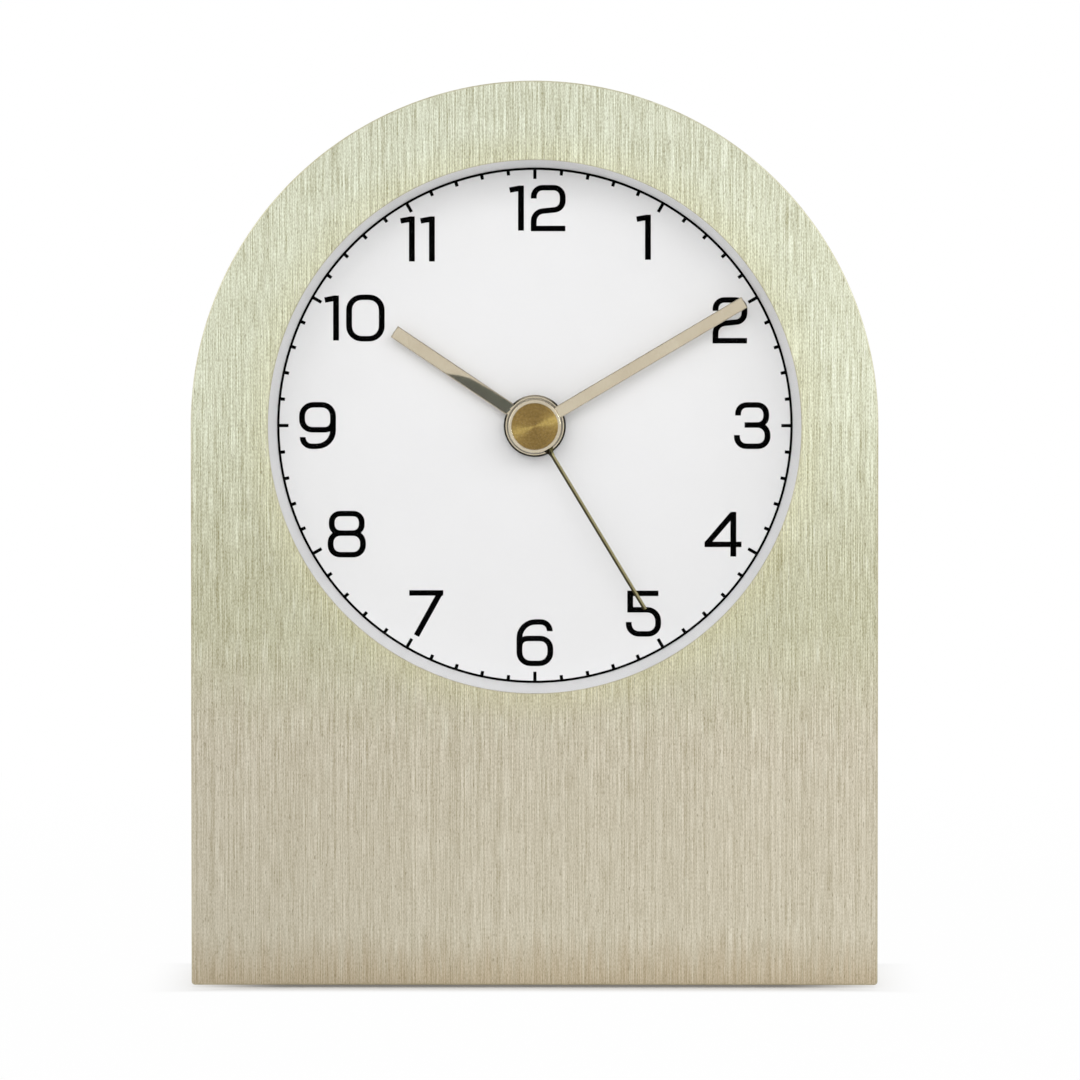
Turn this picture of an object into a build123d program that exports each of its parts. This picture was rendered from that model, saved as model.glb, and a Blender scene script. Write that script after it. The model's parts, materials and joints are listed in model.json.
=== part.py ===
"""Arch-topped mantel clock with a quartz movement.

Millimetres, +Z up. The clock stands on its pads at z = 0 with its front facing -Y.
Depths count backwards from the front face, and x and z offsets count from the dial's centre.
"""
import os
from math import cos, pi, radians, sin, tan

from build123d import *

# Fits
fit_gap = 0.1          # round pieces that are fixed together
running_gap = 0.4      # between pieces that pass each other
pivot_gap = 0.04       # round a pivot in its bearing
press_gap = 0.01       # round a hand on its tube

# Case
opening_radius = 46.6
rim_width = 13.4       # metal between the window and the edge of the case
shoulder_height = 98.0  # base of the case to the centre of the arch
window_drop = 0.4      # centre of the window and dial below the centre of the arch
corner_radius = 0.6
edge_break = 0.25
plate_thickness = 2.0
band_wall = 1.2
pad_radius = 4.0
pad_thickness = 0.5
pad_inset = 10.0
recess_depth = 5.0     # back cover below the rear edge of the band
cover_thickness = 2.0
service_gap = 3.4      # movement to back cover

# Window and dial
lens_lap = 2.4         # glass held behind the plate, all round
lens_thickness = 2.0
ring_taper = 1.25      # slope of the reflector ring
ring_depth = 7.0
dial_thickness = 0.6
dial_hole_radius = 3.6
cup_wall = 1.8
carrier_thickness = 2.0
carrier_fence = 1.2
carrier_fence_height = 3.0

# Screws
screw_radius = 1.3
screw_head_radius = 2.4
screw_head_height = 1.4
screw_grip = 6.0
boss_radius = 2.8
boss_overlap = 1.1     # boss sunk into the wall of the cup
post_radius = 3.6
post_height_above_base = 9.0
post_angle = 42.0      # upper back posts, up from the horizontal
screw_gap = 0.02

# Hands: angles are clockwise from twelve
hour_angle = 303.9
minute_angle = 59.4
seconds_angle = 148.9
hour_length = 29.7
hour_width = 2.3
minute_length = 42.7
minute_width = 2.15
seconds_length = 37.5
seconds_width = 0.7
seconds_root_width = 1.8
seconds_root_length = 1.6
blade_thickness = 0.5
seconds_blade_thickness = 0.3
hour_clearance = 2.2   # dial to the back of the hour blade
hand_spacing = 0.75    # front of one blade to the back of the next
hour_hub_radius = 5.45
minute_hub_radius = 4.95
hub_bevel = 0.3
collet_wall = 0.8
collet_length = 0.6
cap_radius = 4.65
cap_thickness = 1.2
cap_disc_radius = 4.08
cap_disc_thickness = 0.3
cap_disc_proud = 0.06

# Tubes and arbors of the movement
spigot_radius = 3.5
hour_tube_radius = 2.5
minute_tube_radius = 1.75
minute_collar_radius = 2.2
clutch_radius = 1.9
seconds_arbor_radius = 0.6
pivot_radius = 0.5
fine_pivot_radius = 0.4
pivot_length = 0.7
end_shake = 0.1

# Toothing: counts of teeth and the two sums that set each centre distance
rotor_teeth = 10
intermediate_teeth = 60
intermediate_pinion_teeth = 12
seconds_teeth = 60
seconds_pinion_teeth = 8
third_teeth = 60
third_pinion_teeth = 8
centre_teeth = 64
cannon_teeth = 16
minute_teeth = 48
minute_pinion_teeth = 12
hour_teeth = 48
setting_teeth = 16
rotor_module = 0.2
intermediate_module = 0.25
third_pinion_module = 0.25
cannon_module = 0.3
tooth_share = 0.39     # tooth thickness as a share of the pitch
wheel_addendum = 0.9
pinion_addendum = 0.85
dedendum = 1.3
wheel_flank = 20.0
pinion_flank = 10.0

# Directions of the axes, anticlockwise from +x seen from the front
minute_direction = 200.0
setting_direction = 160.0
third_direction = 345.0
intermediate_direction = 60.0
rotor_direction = 30.0

# Levels inside the movement
movement_wall = 1.2
wheel_thickness = 0.7
pinion_overhang = 0.15
level_gap = 0.45
middle_thickness = 0.8
bearing_room = 1.9
bearing_radius = 1.2
magnet_radius = 3.0
magnet_bore = 0.9
magnet_length = 1.8

# Movement housing and battery
battery_radius = 7.1
battery_length = 50.5
battery_nub_radius = 2.6
battery_nub_length = 1.2
battery_gap = 0.3
contact_room = 1.55
contact_thickness = 0.4
tail_width = 1.4         # strips that lead from the battery to the circuit board
train_drop = 11.2      # dial centre to the wall above the battery
train_rise = 28.0      # dial centre to the top of the housing
divider_wall = 1.0
housing_corner = 3.0
ear_reach = 7.0
ear_height = 18.0
ear_half_width = 4.0
pillar_radius = 1.5
pillar_inset = 3.5

# Motor and electronics
stator_thickness = 1.0
pin_end = 0.8          # locating pins beyond the stator
stator_width = 4.0
stator_ring = 2.1
stator_left = -16.0
stator_right = 17.0
stator_base = 9.4
coil_height = 20.8
coil_left = -10.5
coil_right = 11.5
bobbin_flange = 1.0
bobbin_height = 7.4
bobbin_depth = 6.4
winding_inset = 0.5
winding_corner = 1.5
board_width = 14.5
board_height = 10.0
board_left = -25.5
board_bottom = 5.5
board_thickness = 1.0
standoff_height = 1.2
crystal_radius = 1.0
crystal_length = 6.0
chip_radius = 2.4
chip_height = 1.1

# Setting knob and battery door
knob_radius = 6.3
knob_teeth = 30
knob_ridge = 0.35
knob_proud = 2.4       # knob beyond the back cover
knob_well_width = 2.6
knob_well_depth = 0.8
setting_arbor_radius = 1.2
door_width = 58.0
door_height = 18.0
door_thickness = 1.6
door_frame = 1.6
door_gap = 0.3
door_pin_radius = 0.8
door_pin_length = 1.2
door_notch_radius = 5.0
grip_count = 3
grip_length = 12.0
grip_width = 0.7
grip_height = 0.5
grip_pitch = 1.9

# Sizes that follow from the ones above
case_radius = opening_radius + rim_width
lens_radius = opening_radius + lens_lap
cup_inner = lens_radius + fit_gap
cup_outer = cup_inner + cup_wall
dial_edge = opening_radius - ring_taper
dial_height = pad_thickness + shoulder_height - window_drop
lens_back = plate_thickness + lens_thickness
dial_front = lens_back + ring_depth
dial_back = dial_front + dial_thickness
movement_front = dial_back + carrier_thickness

hour_level = movement_wall + running_gap
minute_level = hour_level + wheel_thickness + level_gap
middle_front = minute_level + wheel_thickness + level_gap
middle_back = middle_front + middle_thickness
centre_level = middle_back + level_gap
third_level = centre_level + wheel_thickness + 2 * level_gap
seconds_level = third_level + wheel_thickness + 2 * level_gap
intermediate_level = seconds_level + wheel_thickness + 2 * level_gap
magnet_front = intermediate_level + wheel_thickness + level_gap
magnet_back = magnet_front + magnet_length
cover_face = magnet_back + bearing_room
movement_depth = cover_face + movement_wall
stator_front = magnet_front + running_gap
core_front = stator_front - stator_thickness

back_inner = movement_front + movement_depth + service_gap
back_outer = back_inner + cover_thickness
case_depth = back_outer + recess_depth

battery_room = 2 * battery_radius + 2 * battery_gap
movement_half = battery_length / 2 + contact_room + movement_wall
movement_bottom = -(train_drop + divider_wall + battery_room + movement_wall)
battery_z = movement_bottom + movement_wall + battery_gap + battery_radius
battery_depth = movement_front + movement_wall + battery_gap + battery_radius

hour_back = dial_front - hour_clearance
hour_front = hour_back - blade_thickness
minute_back = hour_front - hand_spacing
minute_front = minute_back - blade_thickness
seconds_back = minute_front - hand_spacing
seconds_front = seconds_back - seconds_blade_thickness
cap_front = seconds_front - cap_thickness

third_distance = third_pinion_module * (third_pinion_teeth + centre_teeth) / 2
third_module = 2 * third_distance / (seconds_pinion_teeth + third_teeth)
intermediate_distance = intermediate_module * (intermediate_pinion_teeth + seconds_teeth) / 2
rotor_distance = rotor_module * (rotor_teeth + intermediate_teeth) / 2
minute_distance = cannon_module * (cannon_teeth + minute_teeth) / 2
hour_module = 2 * minute_distance / (minute_pinion_teeth + hour_teeth)
setting_distance = cannon_module * (setting_teeth + minute_teeth) / 2


def step_from(start, distance, direction):
    """Point at a distance and direction from another point of the dial plane."""
    angle = radians(direction)
    return (start[0] + distance * cos(angle), start[1] + distance * sin(angle))


dial_axis = (0.0, 0.0)
minute_axis = step_from(dial_axis, minute_distance, minute_direction)
setting_axis = step_from(minute_axis, setting_distance, setting_direction)
third_axis = step_from(dial_axis, third_distance, third_direction)
intermediate_axis = step_from(dial_axis, intermediate_distance, intermediate_direction)
rotor_axis = step_from(intermediate_axis, rotor_distance, rotor_direction)


def face_plane(depth, at=dial_axis):
    """Plane parallel to the dial, facing forwards, at a depth behind the front face."""
    origin = (at[0], depth - case_depth / 2, dial_height + at[1])
    return Plane(origin=origin, x_dir=(1, 0, 0), z_dir=(0, -1, 0))


def turning_plane(at=dial_axis):
    """Plane through an axis square to the dial: radius across, depth up."""
    origin = (at[0], -case_depth / 2, dial_height + at[1])
    return Plane(origin=origin, x_dir=(1, 0, 0), z_dir=(0, 0, 1))


def turned(steps, start, at=dial_axis, bore=0.0):
    """Stepped round piece square to the dial: each step is a radius and the depth where it ends."""
    outline = [(bore, start)]
    level = start
    for radius, end in steps:
        outline += [(radius, level), (radius, end)]
        level = end
    outline.append((bore, level))
    plane = turning_plane(at)
    with BuildPart() as body:
        with BuildSketch(plane):
            with BuildLine():
                Polyline(*outline, close=True)
            make_face()
        revolve(axis=Axis(plane.origin, (0, 1, 0)))
    return body.part


def tooth_points(teeth, module, turn, addendum, flank):
    """Straight-flanked teeth round a pitch circle, the first one centred on the angle turn."""
    slope = tan(radians(flank))
    half_tooth = tooth_share * pi * module / 2
    corners = []
    for tooth in range(teeth):
        middle = radians(turn) + 2 * pi * tooth / teeth
        for height, side in ((-dedendum, -1), (addendum, -1), (addendum, 1), (-dedendum, 1)):
            radius = teeth * module / 2 + height * module
            angle = middle + side * (half_tooth - height * module * slope) / radius
            corners.append((radius * cos(angle), radius * sin(angle)))
    return corners


def toothed(teeth, module, turn, start, end, at, pinion=False):
    """Gear wheel or pinion with flat faces at two depths."""
    addendum = pinion_addendum if pinion else wheel_addendum
    flank = pinion_flank if pinion else wheel_flank
    with BuildPart() as body:
        with BuildSketch(face_plane(start, at)):
            with BuildLine():
                Polyline(*tooth_points(teeth, module, turn, addendum, flank), close=True)
            make_face()
        extrude(amount=start - end)
    return body.part


def meshing_turn(turn, teeth, mate_teeth, direction):
    """Turn of the mating gear that puts its gap on this gear's tooth along the line of centres."""
    tooth_offset = (turn - direction) * teeth / 360
    return direction + 180 + (0.5 - tooth_offset) * 360 / mate_teeth


def arch(inset):
    """Outline of the case, drawn in by an inset: a half circle on a straight-sided base."""
    half = case_radius - inset
    floor = window_drop + inset - shoulder_height
    with BuildSketch() as outline:
        with BuildLine():
            Polyline((half, window_drop), (half, floor), (-half, floor), (-half, window_drop))
            CenterArc((0, window_drop), half, 0, 180)
        make_face()
        if corner_radius > inset:
            fillet(outline.vertices().group_by(Axis.Y)[0], corner_radius - inset)
    return outline.sketch


def level(distance):
    """Depth of a level that counts from the front of the movement."""
    return movement_front + distance


def hand_blade(angle, length, width):
    """Straight baton from the centre of the dial to a square end."""
    with BuildSketch() as outline:
        with Locations(Rotation(0, 0, -angle)):
            Rectangle(width, length, align=(Align.CENTER, Align.MIN))
    return outline.sketch


# Places of the screws
boss_circle = cup_outer + boss_radius - boss_overlap
carrier_bosses = [step_from(dial_axis, boss_circle, 90 * n) for n in range(4)]
post_circle = case_radius - band_wall - fit_gap - post_radius - running_gap
post_low = window_drop + post_height_above_base - shoulder_height
back_posts = [
    step_from((0, window_drop), post_circle, post_angle),
    step_from((0, window_drop), post_circle, 180 - post_angle),
    (post_circle, post_low),
    (-post_circle, post_low),
]
ear_x = movement_half + ear_reach - ear_half_width
movement_ears = [(ear_x, ear_height), (-ear_x, ear_height)]
pillar_x = movement_half - pillar_inset
pillars = [
    (pillar_x, train_rise - pillar_inset),
    (-pillar_x, train_rise - pillar_inset),
    (pillar_x - pillar_inset, pillar_inset - train_drop),
    (pillar_inset - pillar_x, pillar_inset - train_drop),
]

# Front plate
with BuildPart() as front_plate:
    with BuildSketch(face_plane(0)):
        add(arch(0))
        Circle(opening_radius, mode=Mode.SUBTRACT)
    extrude(amount=-plate_thickness)
    chamfer(front_plate.faces().sort_by(Axis.Y)[0].edges(), edge_break)

# Band round the sides, open at the back
with BuildPart() as case_band:
    with BuildSketch(face_plane(plate_thickness)):
        add(arch(0))
        add(arch(band_wall), mode=Mode.SUBTRACT)
    extrude(amount=plate_thickness - case_depth)
    chamfer(case_band.faces().sort_by(Axis.Y)[-1].edges(), edge_break)

# Pads under the base
pad_x = case_radius - pad_inset
pad_y = case_depth / 2 - pad_inset
with BuildPart() as foot_pads:
    with BuildSketch(Plane.XY):
        with GridLocations(2 * pad_x, 2 * pad_y, 2, 2):
            Circle(pad_radius)
    extrude(amount=pad_thickness)

# Inner frame: lens seat, dial cup and screw posts
with BuildPart() as chassis:
    with BuildSketch(face_plane(plate_thickness)):
        add(arch(band_wall + fit_gap))
    extrude(amount=-lens_thickness)
    with BuildSketch(face_plane(plate_thickness)):
        Circle(cup_outer)
        with Locations(*carrier_bosses):
            Circle(boss_radius)
    extrude(amount=plate_thickness - dial_back)
    with BuildSketch(face_plane(plate_thickness)):
        with Locations(*back_posts):
            Circle(post_radius)
    extrude(amount=plate_thickness - back_inner)
    with BuildSketch(face_plane(plate_thickness)):
        Circle(cup_inner)
    extrude(amount=plate_thickness - back_inner, mode=Mode.SUBTRACT)
    with BuildSketch(face_plane(dial_back)):
        with Locations(*carrier_bosses):
            Circle(screw_radius + screw_gap)
    extrude(amount=screw_grip, mode=Mode.SUBTRACT)
    with BuildSketch(face_plane(back_inner)):
        with Locations(*back_posts):
            Circle(screw_radius + screw_gap)
    extrude(amount=screw_grip, mode=Mode.SUBTRACT)

# Glass
with BuildPart() as lens:
    add(turned([(lens_radius, lens_back)], plate_thickness))

# Reflector ring: sloping wall from the glass down to the dial
with BuildPart() as dial_ring:
    with BuildSketch(turning_plane()):
        with BuildLine():
            Polyline(
                (opening_radius, lens_back),
                (lens_radius, lens_back),
                (lens_radius, dial_front),
                (dial_edge, dial_front),
                close=True,
            )
        make_face()
    revolve(axis=Axis(turning_plane().origin, (0, 1, 0)))

# Dial
with BuildPart() as dial:
    add(turned([(lens_radius, dial_back)], dial_front, bore=dial_hole_radius))

# Carrier: clamps the dial into the cup and holds the movement
with BuildPart() as movement_carrier:
    with BuildSketch(face_plane(dial_back)):
        Circle(cup_outer)
        with Locations(*carrier_bosses):
            Circle(boss_radius)
        Circle(dial_hole_radius, mode=Mode.SUBTRACT)
        with Locations(*carrier_bosses, *movement_ears):
            Circle(screw_radius + screw_gap, mode=Mode.SUBTRACT)
    extrude(amount=-carrier_thickness)
    fence_middle = (0, (train_rise + movement_bottom) / 2)
    fence_width = 2 * movement_half + 2 * fit_gap
    fence_height = train_rise - movement_bottom + 2 * fit_gap
    with BuildSketch(face_plane(movement_front)):
        with Locations(fence_middle):
            RectangleRounded(fence_width + 2 * carrier_fence, fence_height + 2 * carrier_fence,
                             housing_corner + carrier_fence)
            RectangleRounded(fence_width, fence_height, housing_corner, mode=Mode.SUBTRACT)
        with Locations((0, ear_height)):
            Rectangle(2 * cup_outer, 2 * ear_half_width + 2 * running_gap, mode=Mode.SUBTRACT)
    extrude(amount=-carrier_fence_height)


def pan_screw(head_back, grip, at):
    """Pan-head screw driven forwards from the back: the head's top faces the rear."""
    head_front = head_back - screw_head_height
    return turned([(screw_radius, head_front), (screw_head_radius, head_back)], head_front - grip, at)


# Screws
with BuildPart() as carrier_screws:
    for place in carrier_bosses:
        add(pan_screw(movement_front + screw_head_height, carrier_thickness + screw_grip - end_shake, place))

ear_back = movement_front + movement_wall
with BuildPart() as movement_screws:
    for place in movement_ears:
        add(pan_screw(ear_back + screw_head_height, movement_wall + carrier_thickness - end_shake, place))

with BuildPart() as back_screws:
    for place in back_posts:
        add(pan_screw(back_outer, cover_thickness - screw_head_height + screw_grip - end_shake, place))

# Hour hand on the outer tube
with BuildPart() as hour_hand:
    with BuildSketch(face_plane(hour_front)):
        add(hand_blade(hour_angle, hour_length, hour_width))
        Circle(hour_hub_radius)
    extrude(amount=-blade_thickness)
    hub_rim = hour_hand.faces().sort_by(Axis.Y)[0].edges().filter_by(GeomType.CIRCLE)
    chamfer(hub_rim, hub_bevel)
    add(turned([(hour_tube_radius + collet_wall, hour_back + collet_length)], hour_back))
    add(turned([(hour_tube_radius + press_gap, dial_front)], hour_front), mode=Mode.SUBTRACT)

# Minute hand on the middle tube
with BuildPart() as minute_hand:
    with BuildSketch(face_plane(minute_front)):
        add(hand_blade(minute_angle, minute_length, minute_width))
        Circle(minute_hub_radius)
    extrude(amount=-blade_thickness)
    add(turned([(minute_tube_radius + collet_wall, minute_back + collet_length)], minute_back))
    add(turned([(minute_tube_radius + press_gap, dial_front)], minute_front), mode=Mode.SUBTRACT)

# Seconds hand: a narrow ridged blade with a flared root, on a boss under the cap
root_start = cap_radius - seconds_root_width
root_end = cap_radius + seconds_root_length
heading = radians(seconds_angle)
outwards = Vector(sin(heading), 0, cos(heading))
sideways = Vector(-cos(heading), 0, sin(heading))
root_point = face_plane(seconds_back).origin + root_start * outwards
blade_plane = Plane(origin=root_point, x_dir=sideways, z_dir=outwards)
with BuildPart() as seconds_hand:
    with BuildSketch(blade_plane):
        with BuildLine():
            Polyline(
                (-seconds_width / 2, 0),
                (seconds_width / 2, 0),
                (0, seconds_blade_thickness),
                close=True,
            )
        make_face()
    extrude(amount=seconds_length - root_start)
    root_corners = [
        (-seconds_root_width / 2, 0),
        (-seconds_root_width / 2, cap_radius),
        (-seconds_width / 2, root_end),
        (seconds_width / 2, root_end),
        (seconds_root_width / 2, cap_radius),
        (seconds_root_width / 2, 0),
    ]
    with BuildSketch(face_plane(seconds_back)):
        with Locations(Rotation(0, 0, -seconds_angle)):
            Polygon(*root_corners, align=None)
    extrude(amount=seconds_blade_thickness / 2)
    add(turned([(seconds_arbor_radius + collet_wall, seconds_back + collet_length)], seconds_front))
    add(turned([(seconds_arbor_radius + press_gap, dial_front)], cap_front), mode=Mode.SUBTRACT)

# Cap over the centre, with a bright disc let into its face
with BuildPart() as hub_cap:
    add(turned([(cap_radius, seconds_front)], cap_front))
    chamfer(hub_cap.faces().sort_by(Axis.Y)[0].edges(), edge_break)
    disc_seat = cap_front - cap_disc_proud + cap_disc_thickness
    add(turned([(cap_disc_radius + screw_gap, disc_seat)], cap_front), mode=Mode.SUBTRACT)
    tip_end = seconds_front - cap_thickness / 2
    add(turned([(seconds_arbor_radius + press_gap, seconds_front)], tip_end), mode=Mode.SUBTRACT)

with BuildPart() as cap_disc:
    add(turned([(cap_disc_radius, disc_seat)], cap_front - cap_disc_proud))

# Movement housing: a tray with the train above and the battery bay below
with BuildPart() as movement_case:
    housing_middle = (0, (train_rise + movement_bottom) / 2)
    housing_height = train_rise - movement_bottom
    with BuildSketch(face_plane(movement_front)):
        with Locations(housing_middle):
            RectangleRounded(2 * movement_half, housing_height, housing_corner)
    extrude(amount=-cover_face)
    with BuildSketch(face_plane(level(movement_wall))):
        room_height = train_rise + train_drop - movement_wall
        with Locations((0, room_height / 2 - train_drop)):
            Rectangle(2 * (movement_half - movement_wall), room_height)
        bay_middle = movement_bottom + movement_wall + battery_room / 2
        with Locations((0, bay_middle)):
            Rectangle(2 * (movement_half - movement_wall), battery_room)
    extrude(amount=movement_wall - cover_face, mode=Mode.SUBTRACT)
    with BuildSketch(face_plane(movement_front)):
        with Locations((0, ear_height)):
            Rectangle(2 * (movement_half + ear_reach), 2 * ear_half_width)
    extrude(amount=-movement_wall)
    with BuildSketch(face_plane(dial_front)):
        Circle(spigot_radius)
    extrude(amount=dial_front - movement_front)
    with BuildSketch(face_plane(level(movement_wall))):
        with Locations(*pillars):
            Circle(pillar_radius)
    extrude(amount=movement_wall - middle_front)
    with BuildSketch(face_plane(dial_front)):
        Circle(hour_tube_radius + pivot_gap)
    extrude(amount=dial_front - level(movement_wall), mode=Mode.SUBTRACT)
    with BuildSketch(face_plane(movement_front)):
        with Locations(*movement_ears):
            Circle(screw_radius + screw_gap)
    extrude(amount=-movement_wall, mode=Mode.SUBTRACT)
    with BuildSketch(face_plane(level(movement_wall))):
        with Locations(minute_axis, setting_axis):
            Circle(pivot_radius + pivot_gap)
    extrude(amount=pivot_length + end_shake, mode=Mode.SUBTRACT)
    bay_half = movement_half - movement_wall
    with BuildSketch(face_plane(level(movement_wall))):
        with Locations((-bay_half, -train_drop)):
            Rectangle(2 * tail_width, divider_wall, align=(Align.MIN, Align.MAX))
    extrude(amount=movement_wall - cover_face, mode=Mode.SUBTRACT)

# Middle plate between the motion work and the going train
with BuildPart() as middle_plate:
    plate_half = movement_half - movement_wall - fit_gap
    plate_bottom = fit_gap - train_drop
    plate_top = train_rise - movement_wall - fit_gap
    with BuildSketch(face_plane(level(middle_front))):
        with Locations((0, (plate_top + plate_bottom) / 2)):
            Rectangle(2 * plate_half, plate_top - plate_bottom)
        Circle(minute_collar_radius + pivot_gap, mode=Mode.SUBTRACT)
        with Locations(minute_axis, third_axis):
            Circle(pivot_radius + pivot_gap, mode=Mode.SUBTRACT)
        with Locations(intermediate_axis):
            Circle(fine_pivot_radius + pivot_gap, mode=Mode.SUBTRACT)
        with Locations(setting_axis):
            Circle(setting_arbor_radius + running_gap, mode=Mode.SUBTRACT)
    extrude(amount=-middle_thickness)
    rotor_post_top = level(intermediate_level - pinion_overhang - end_shake)
    with BuildSketch(face_plane(rotor_post_top, rotor_axis)):
        Circle(bearing_radius)
        Circle(fine_pivot_radius + pivot_gap, mode=Mode.SUBTRACT)
    extrude(amount=rotor_post_top - level(middle_back))
    core_ends = [
        (stator_left + stator_width / 2, coil_height),
        (stator_right - stator_width / 2, coil_height),
    ]
    with BuildSketch(face_plane(level(middle_back))):
        with Locations(*core_ends):
            Circle(stator_width / 2)
    extrude(amount=middle_back - core_front)
    with BuildSketch(face_plane(level(core_front))):
        with Locations(*core_ends):
            Circle(pivot_radius)
    extrude(amount=-2 * stator_thickness - pin_end)
    board_middle = (board_left + board_width / 2, board_bottom + board_height / 2)
    with BuildSketch(face_plane(level(middle_back))):
        with Locations(board_middle):
            with GridLocations(board_width - 2 * pillar_radius, board_height - 2 * pillar_radius, 2, 2):
                Circle(pillar_radius)
    extrude(amount=-standoff_height)

# Movement cover with the rear bearings and the pillars that hold the middle plate down
seconds_bearing = seconds_level + wheel_thickness + level_gap
intermediate_bearing = intermediate_level + wheel_thickness + level_gap
bearings = [
    (dial_axis, seconds_bearing, pivot_radius),
    (third_axis, seconds_bearing, pivot_radius),
    (intermediate_axis, intermediate_bearing, fine_pivot_radius),
    (rotor_axis, magnet_back + end_shake, fine_pivot_radius),
]
with BuildPart() as movement_cover:
    cover_height = train_rise + train_drop + divider_wall
    with BuildSketch(face_plane(level(cover_face))) as cover_outline:
        with Locations((0, train_rise - cover_height / 2)):
            Rectangle(2 * movement_half, cover_height)
        fillet(cover_outline.vertices().group_by(Axis.Y)[-1], housing_corner)
    extrude(amount=-movement_wall)
    with BuildSketch(face_plane(level(middle_back))):
        with Locations(*pillars):
            Circle(pillar_radius)
    extrude(amount=middle_back - cover_face)
    for axis, start, radius in bearings:
        add(turned([(bearing_radius, level(cover_face))], level(start), axis))
        hole_end = level(start + pivot_length + end_shake)
        add(turned([(radius + pivot_gap, hole_end)], level(start), axis), mode=Mode.SUBTRACT)
    with BuildSketch(face_plane(level(cover_face), setting_axis)):
        Circle(setting_arbor_radius + pivot_gap)
    extrude(amount=-movement_wall, mode=Mode.SUBTRACT)

# Turns that put the train in mesh
intermediate_turn = meshing_turn(0, seconds_teeth, intermediate_pinion_teeth, intermediate_direction)
rotor_turn = meshing_turn(intermediate_turn, intermediate_teeth, rotor_teeth, rotor_direction)
third_turn = meshing_turn(0, seconds_pinion_teeth, third_teeth, third_direction)
centre_turn = meshing_turn(third_turn, third_pinion_teeth, centre_teeth, third_direction + 180)
minute_turn = meshing_turn(0, cannon_teeth, minute_teeth, minute_direction)
hour_turn = meshing_turn(minute_turn, minute_pinion_teeth, hour_teeth, minute_direction + 180)
setting_turn = meshing_turn(minute_turn, minute_teeth, setting_teeth, setting_direction)


def wheel(teeth, module, turn, start, at):
    """Wheel of the usual thickness at a level of the movement."""
    return toothed(teeth, module, turn, level(start), level(start + wheel_thickness), at)


def pinion(teeth, module, turn, mate_level, at):
    """Pinion that overlaps its mating wheel's level on both sides."""
    start = level(mate_level - pinion_overhang)
    end = level(mate_level + wheel_thickness + pinion_overhang)
    return toothed(teeth, module, turn, start, end, at, pinion=True)


# Hour wheel with the outer tube
with BuildPart() as hour_wheel:
    add(wheel(hour_teeth, hour_module, hour_turn, hour_level, dial_axis))
    add(turned([(hour_tube_radius, level(hour_level + wheel_thickness))], hour_front))
    hour_bore = minute_tube_radius + pivot_gap
    add(turned([(hour_bore, level(minute_level))], minute_back), mode=Mode.SUBTRACT)

# Minute arbor: tube, cannon pinion and the seat of the slipping centre wheel
clutch_end = level(third_level - level_gap)
with BuildPart() as minute_arbor:
    add(pinion(cannon_teeth, cannon_module, 0, minute_level, dial_axis))
    cannon_back = level(minute_level + wheel_thickness + pinion_overhang)
    arbor_steps = [
        (minute_tube_radius, cannon_back),
        (minute_collar_radius, level(centre_level) - end_shake),
        (clutch_radius, clutch_end),
    ]
    add(turned(arbor_steps, minute_front))
    add(turned([(seconds_arbor_radius + pivot_gap, clutch_end)], minute_front), mode=Mode.SUBTRACT)

# Centre wheel: a split hub grips the minute arbor and slips when the hands are set
hub_radius = clutch_radius + bearing_radius
with BuildPart() as centre_wheel:
    add(wheel(centre_teeth, third_pinion_module, centre_turn, centre_level, dial_axis))
    add(turned([(hub_radius, clutch_end)], level(centre_level)))
    add(turned([(clutch_radius + pivot_gap, clutch_end)], level(centre_level)), mode=Mode.SUBTRACT)
    with BuildSketch(face_plane(level(centre_level + wheel_thickness))):
        with PolarLocations(hub_radius, 3):
            Rectangle(2 * bearing_radius, running_gap)
    extrude(amount=-level_gap, mode=Mode.SUBTRACT)

# Third wheel
with BuildPart() as third_wheel:
    add(wheel(third_teeth, third_module, third_turn, third_level, third_axis))
    add(pinion(third_pinion_teeth, third_pinion_module, third_turn, centre_level, third_axis))
    pivot_end = level(middle_back - pivot_length)
    bearing_end = level(seconds_bearing + pivot_length)
    hub_front = level(centre_level + wheel_thickness + pinion_overhang)
    hub_back = level(third_level + wheel_thickness + pinion_overhang)
    add(turned([(pivot_radius, hub_front), (bearing_radius, hub_back), (pivot_radius, bearing_end)],
               pivot_end, third_axis))

# Seconds wheel on the long inner arbor
with BuildPart() as seconds_wheel:
    add(wheel(seconds_teeth, intermediate_module, 0, seconds_level, dial_axis))
    add(pinion(seconds_pinion_teeth, third_module, 0, third_level, dial_axis))
    hub_front = level(third_level + wheel_thickness + pinion_overhang)
    hub_back = level(seconds_bearing - end_shake)
    add(turned([(seconds_arbor_radius, hub_front), (bearing_radius, hub_back),
                (pivot_radius, level(seconds_bearing + pivot_length))], tip_end + end_shake))

# Intermediate wheel
with BuildPart() as intermediate_wheel:
    add(wheel(intermediate_teeth, rotor_module, intermediate_turn, intermediate_level, intermediate_axis))
    add(pinion(intermediate_pinion_teeth, intermediate_module, intermediate_turn, seconds_level,
               intermediate_axis))
    hub_front = level(seconds_level + wheel_thickness + pinion_overhang)
    hub_back = level(intermediate_bearing - end_shake)
    bearing_end = level(intermediate_bearing + pivot_length)
    add(turned([(fine_pivot_radius, hub_front), (bearing_radius, hub_back), (fine_pivot_radius, bearing_end)],
               level(middle_back - pivot_length), intermediate_axis))

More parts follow.
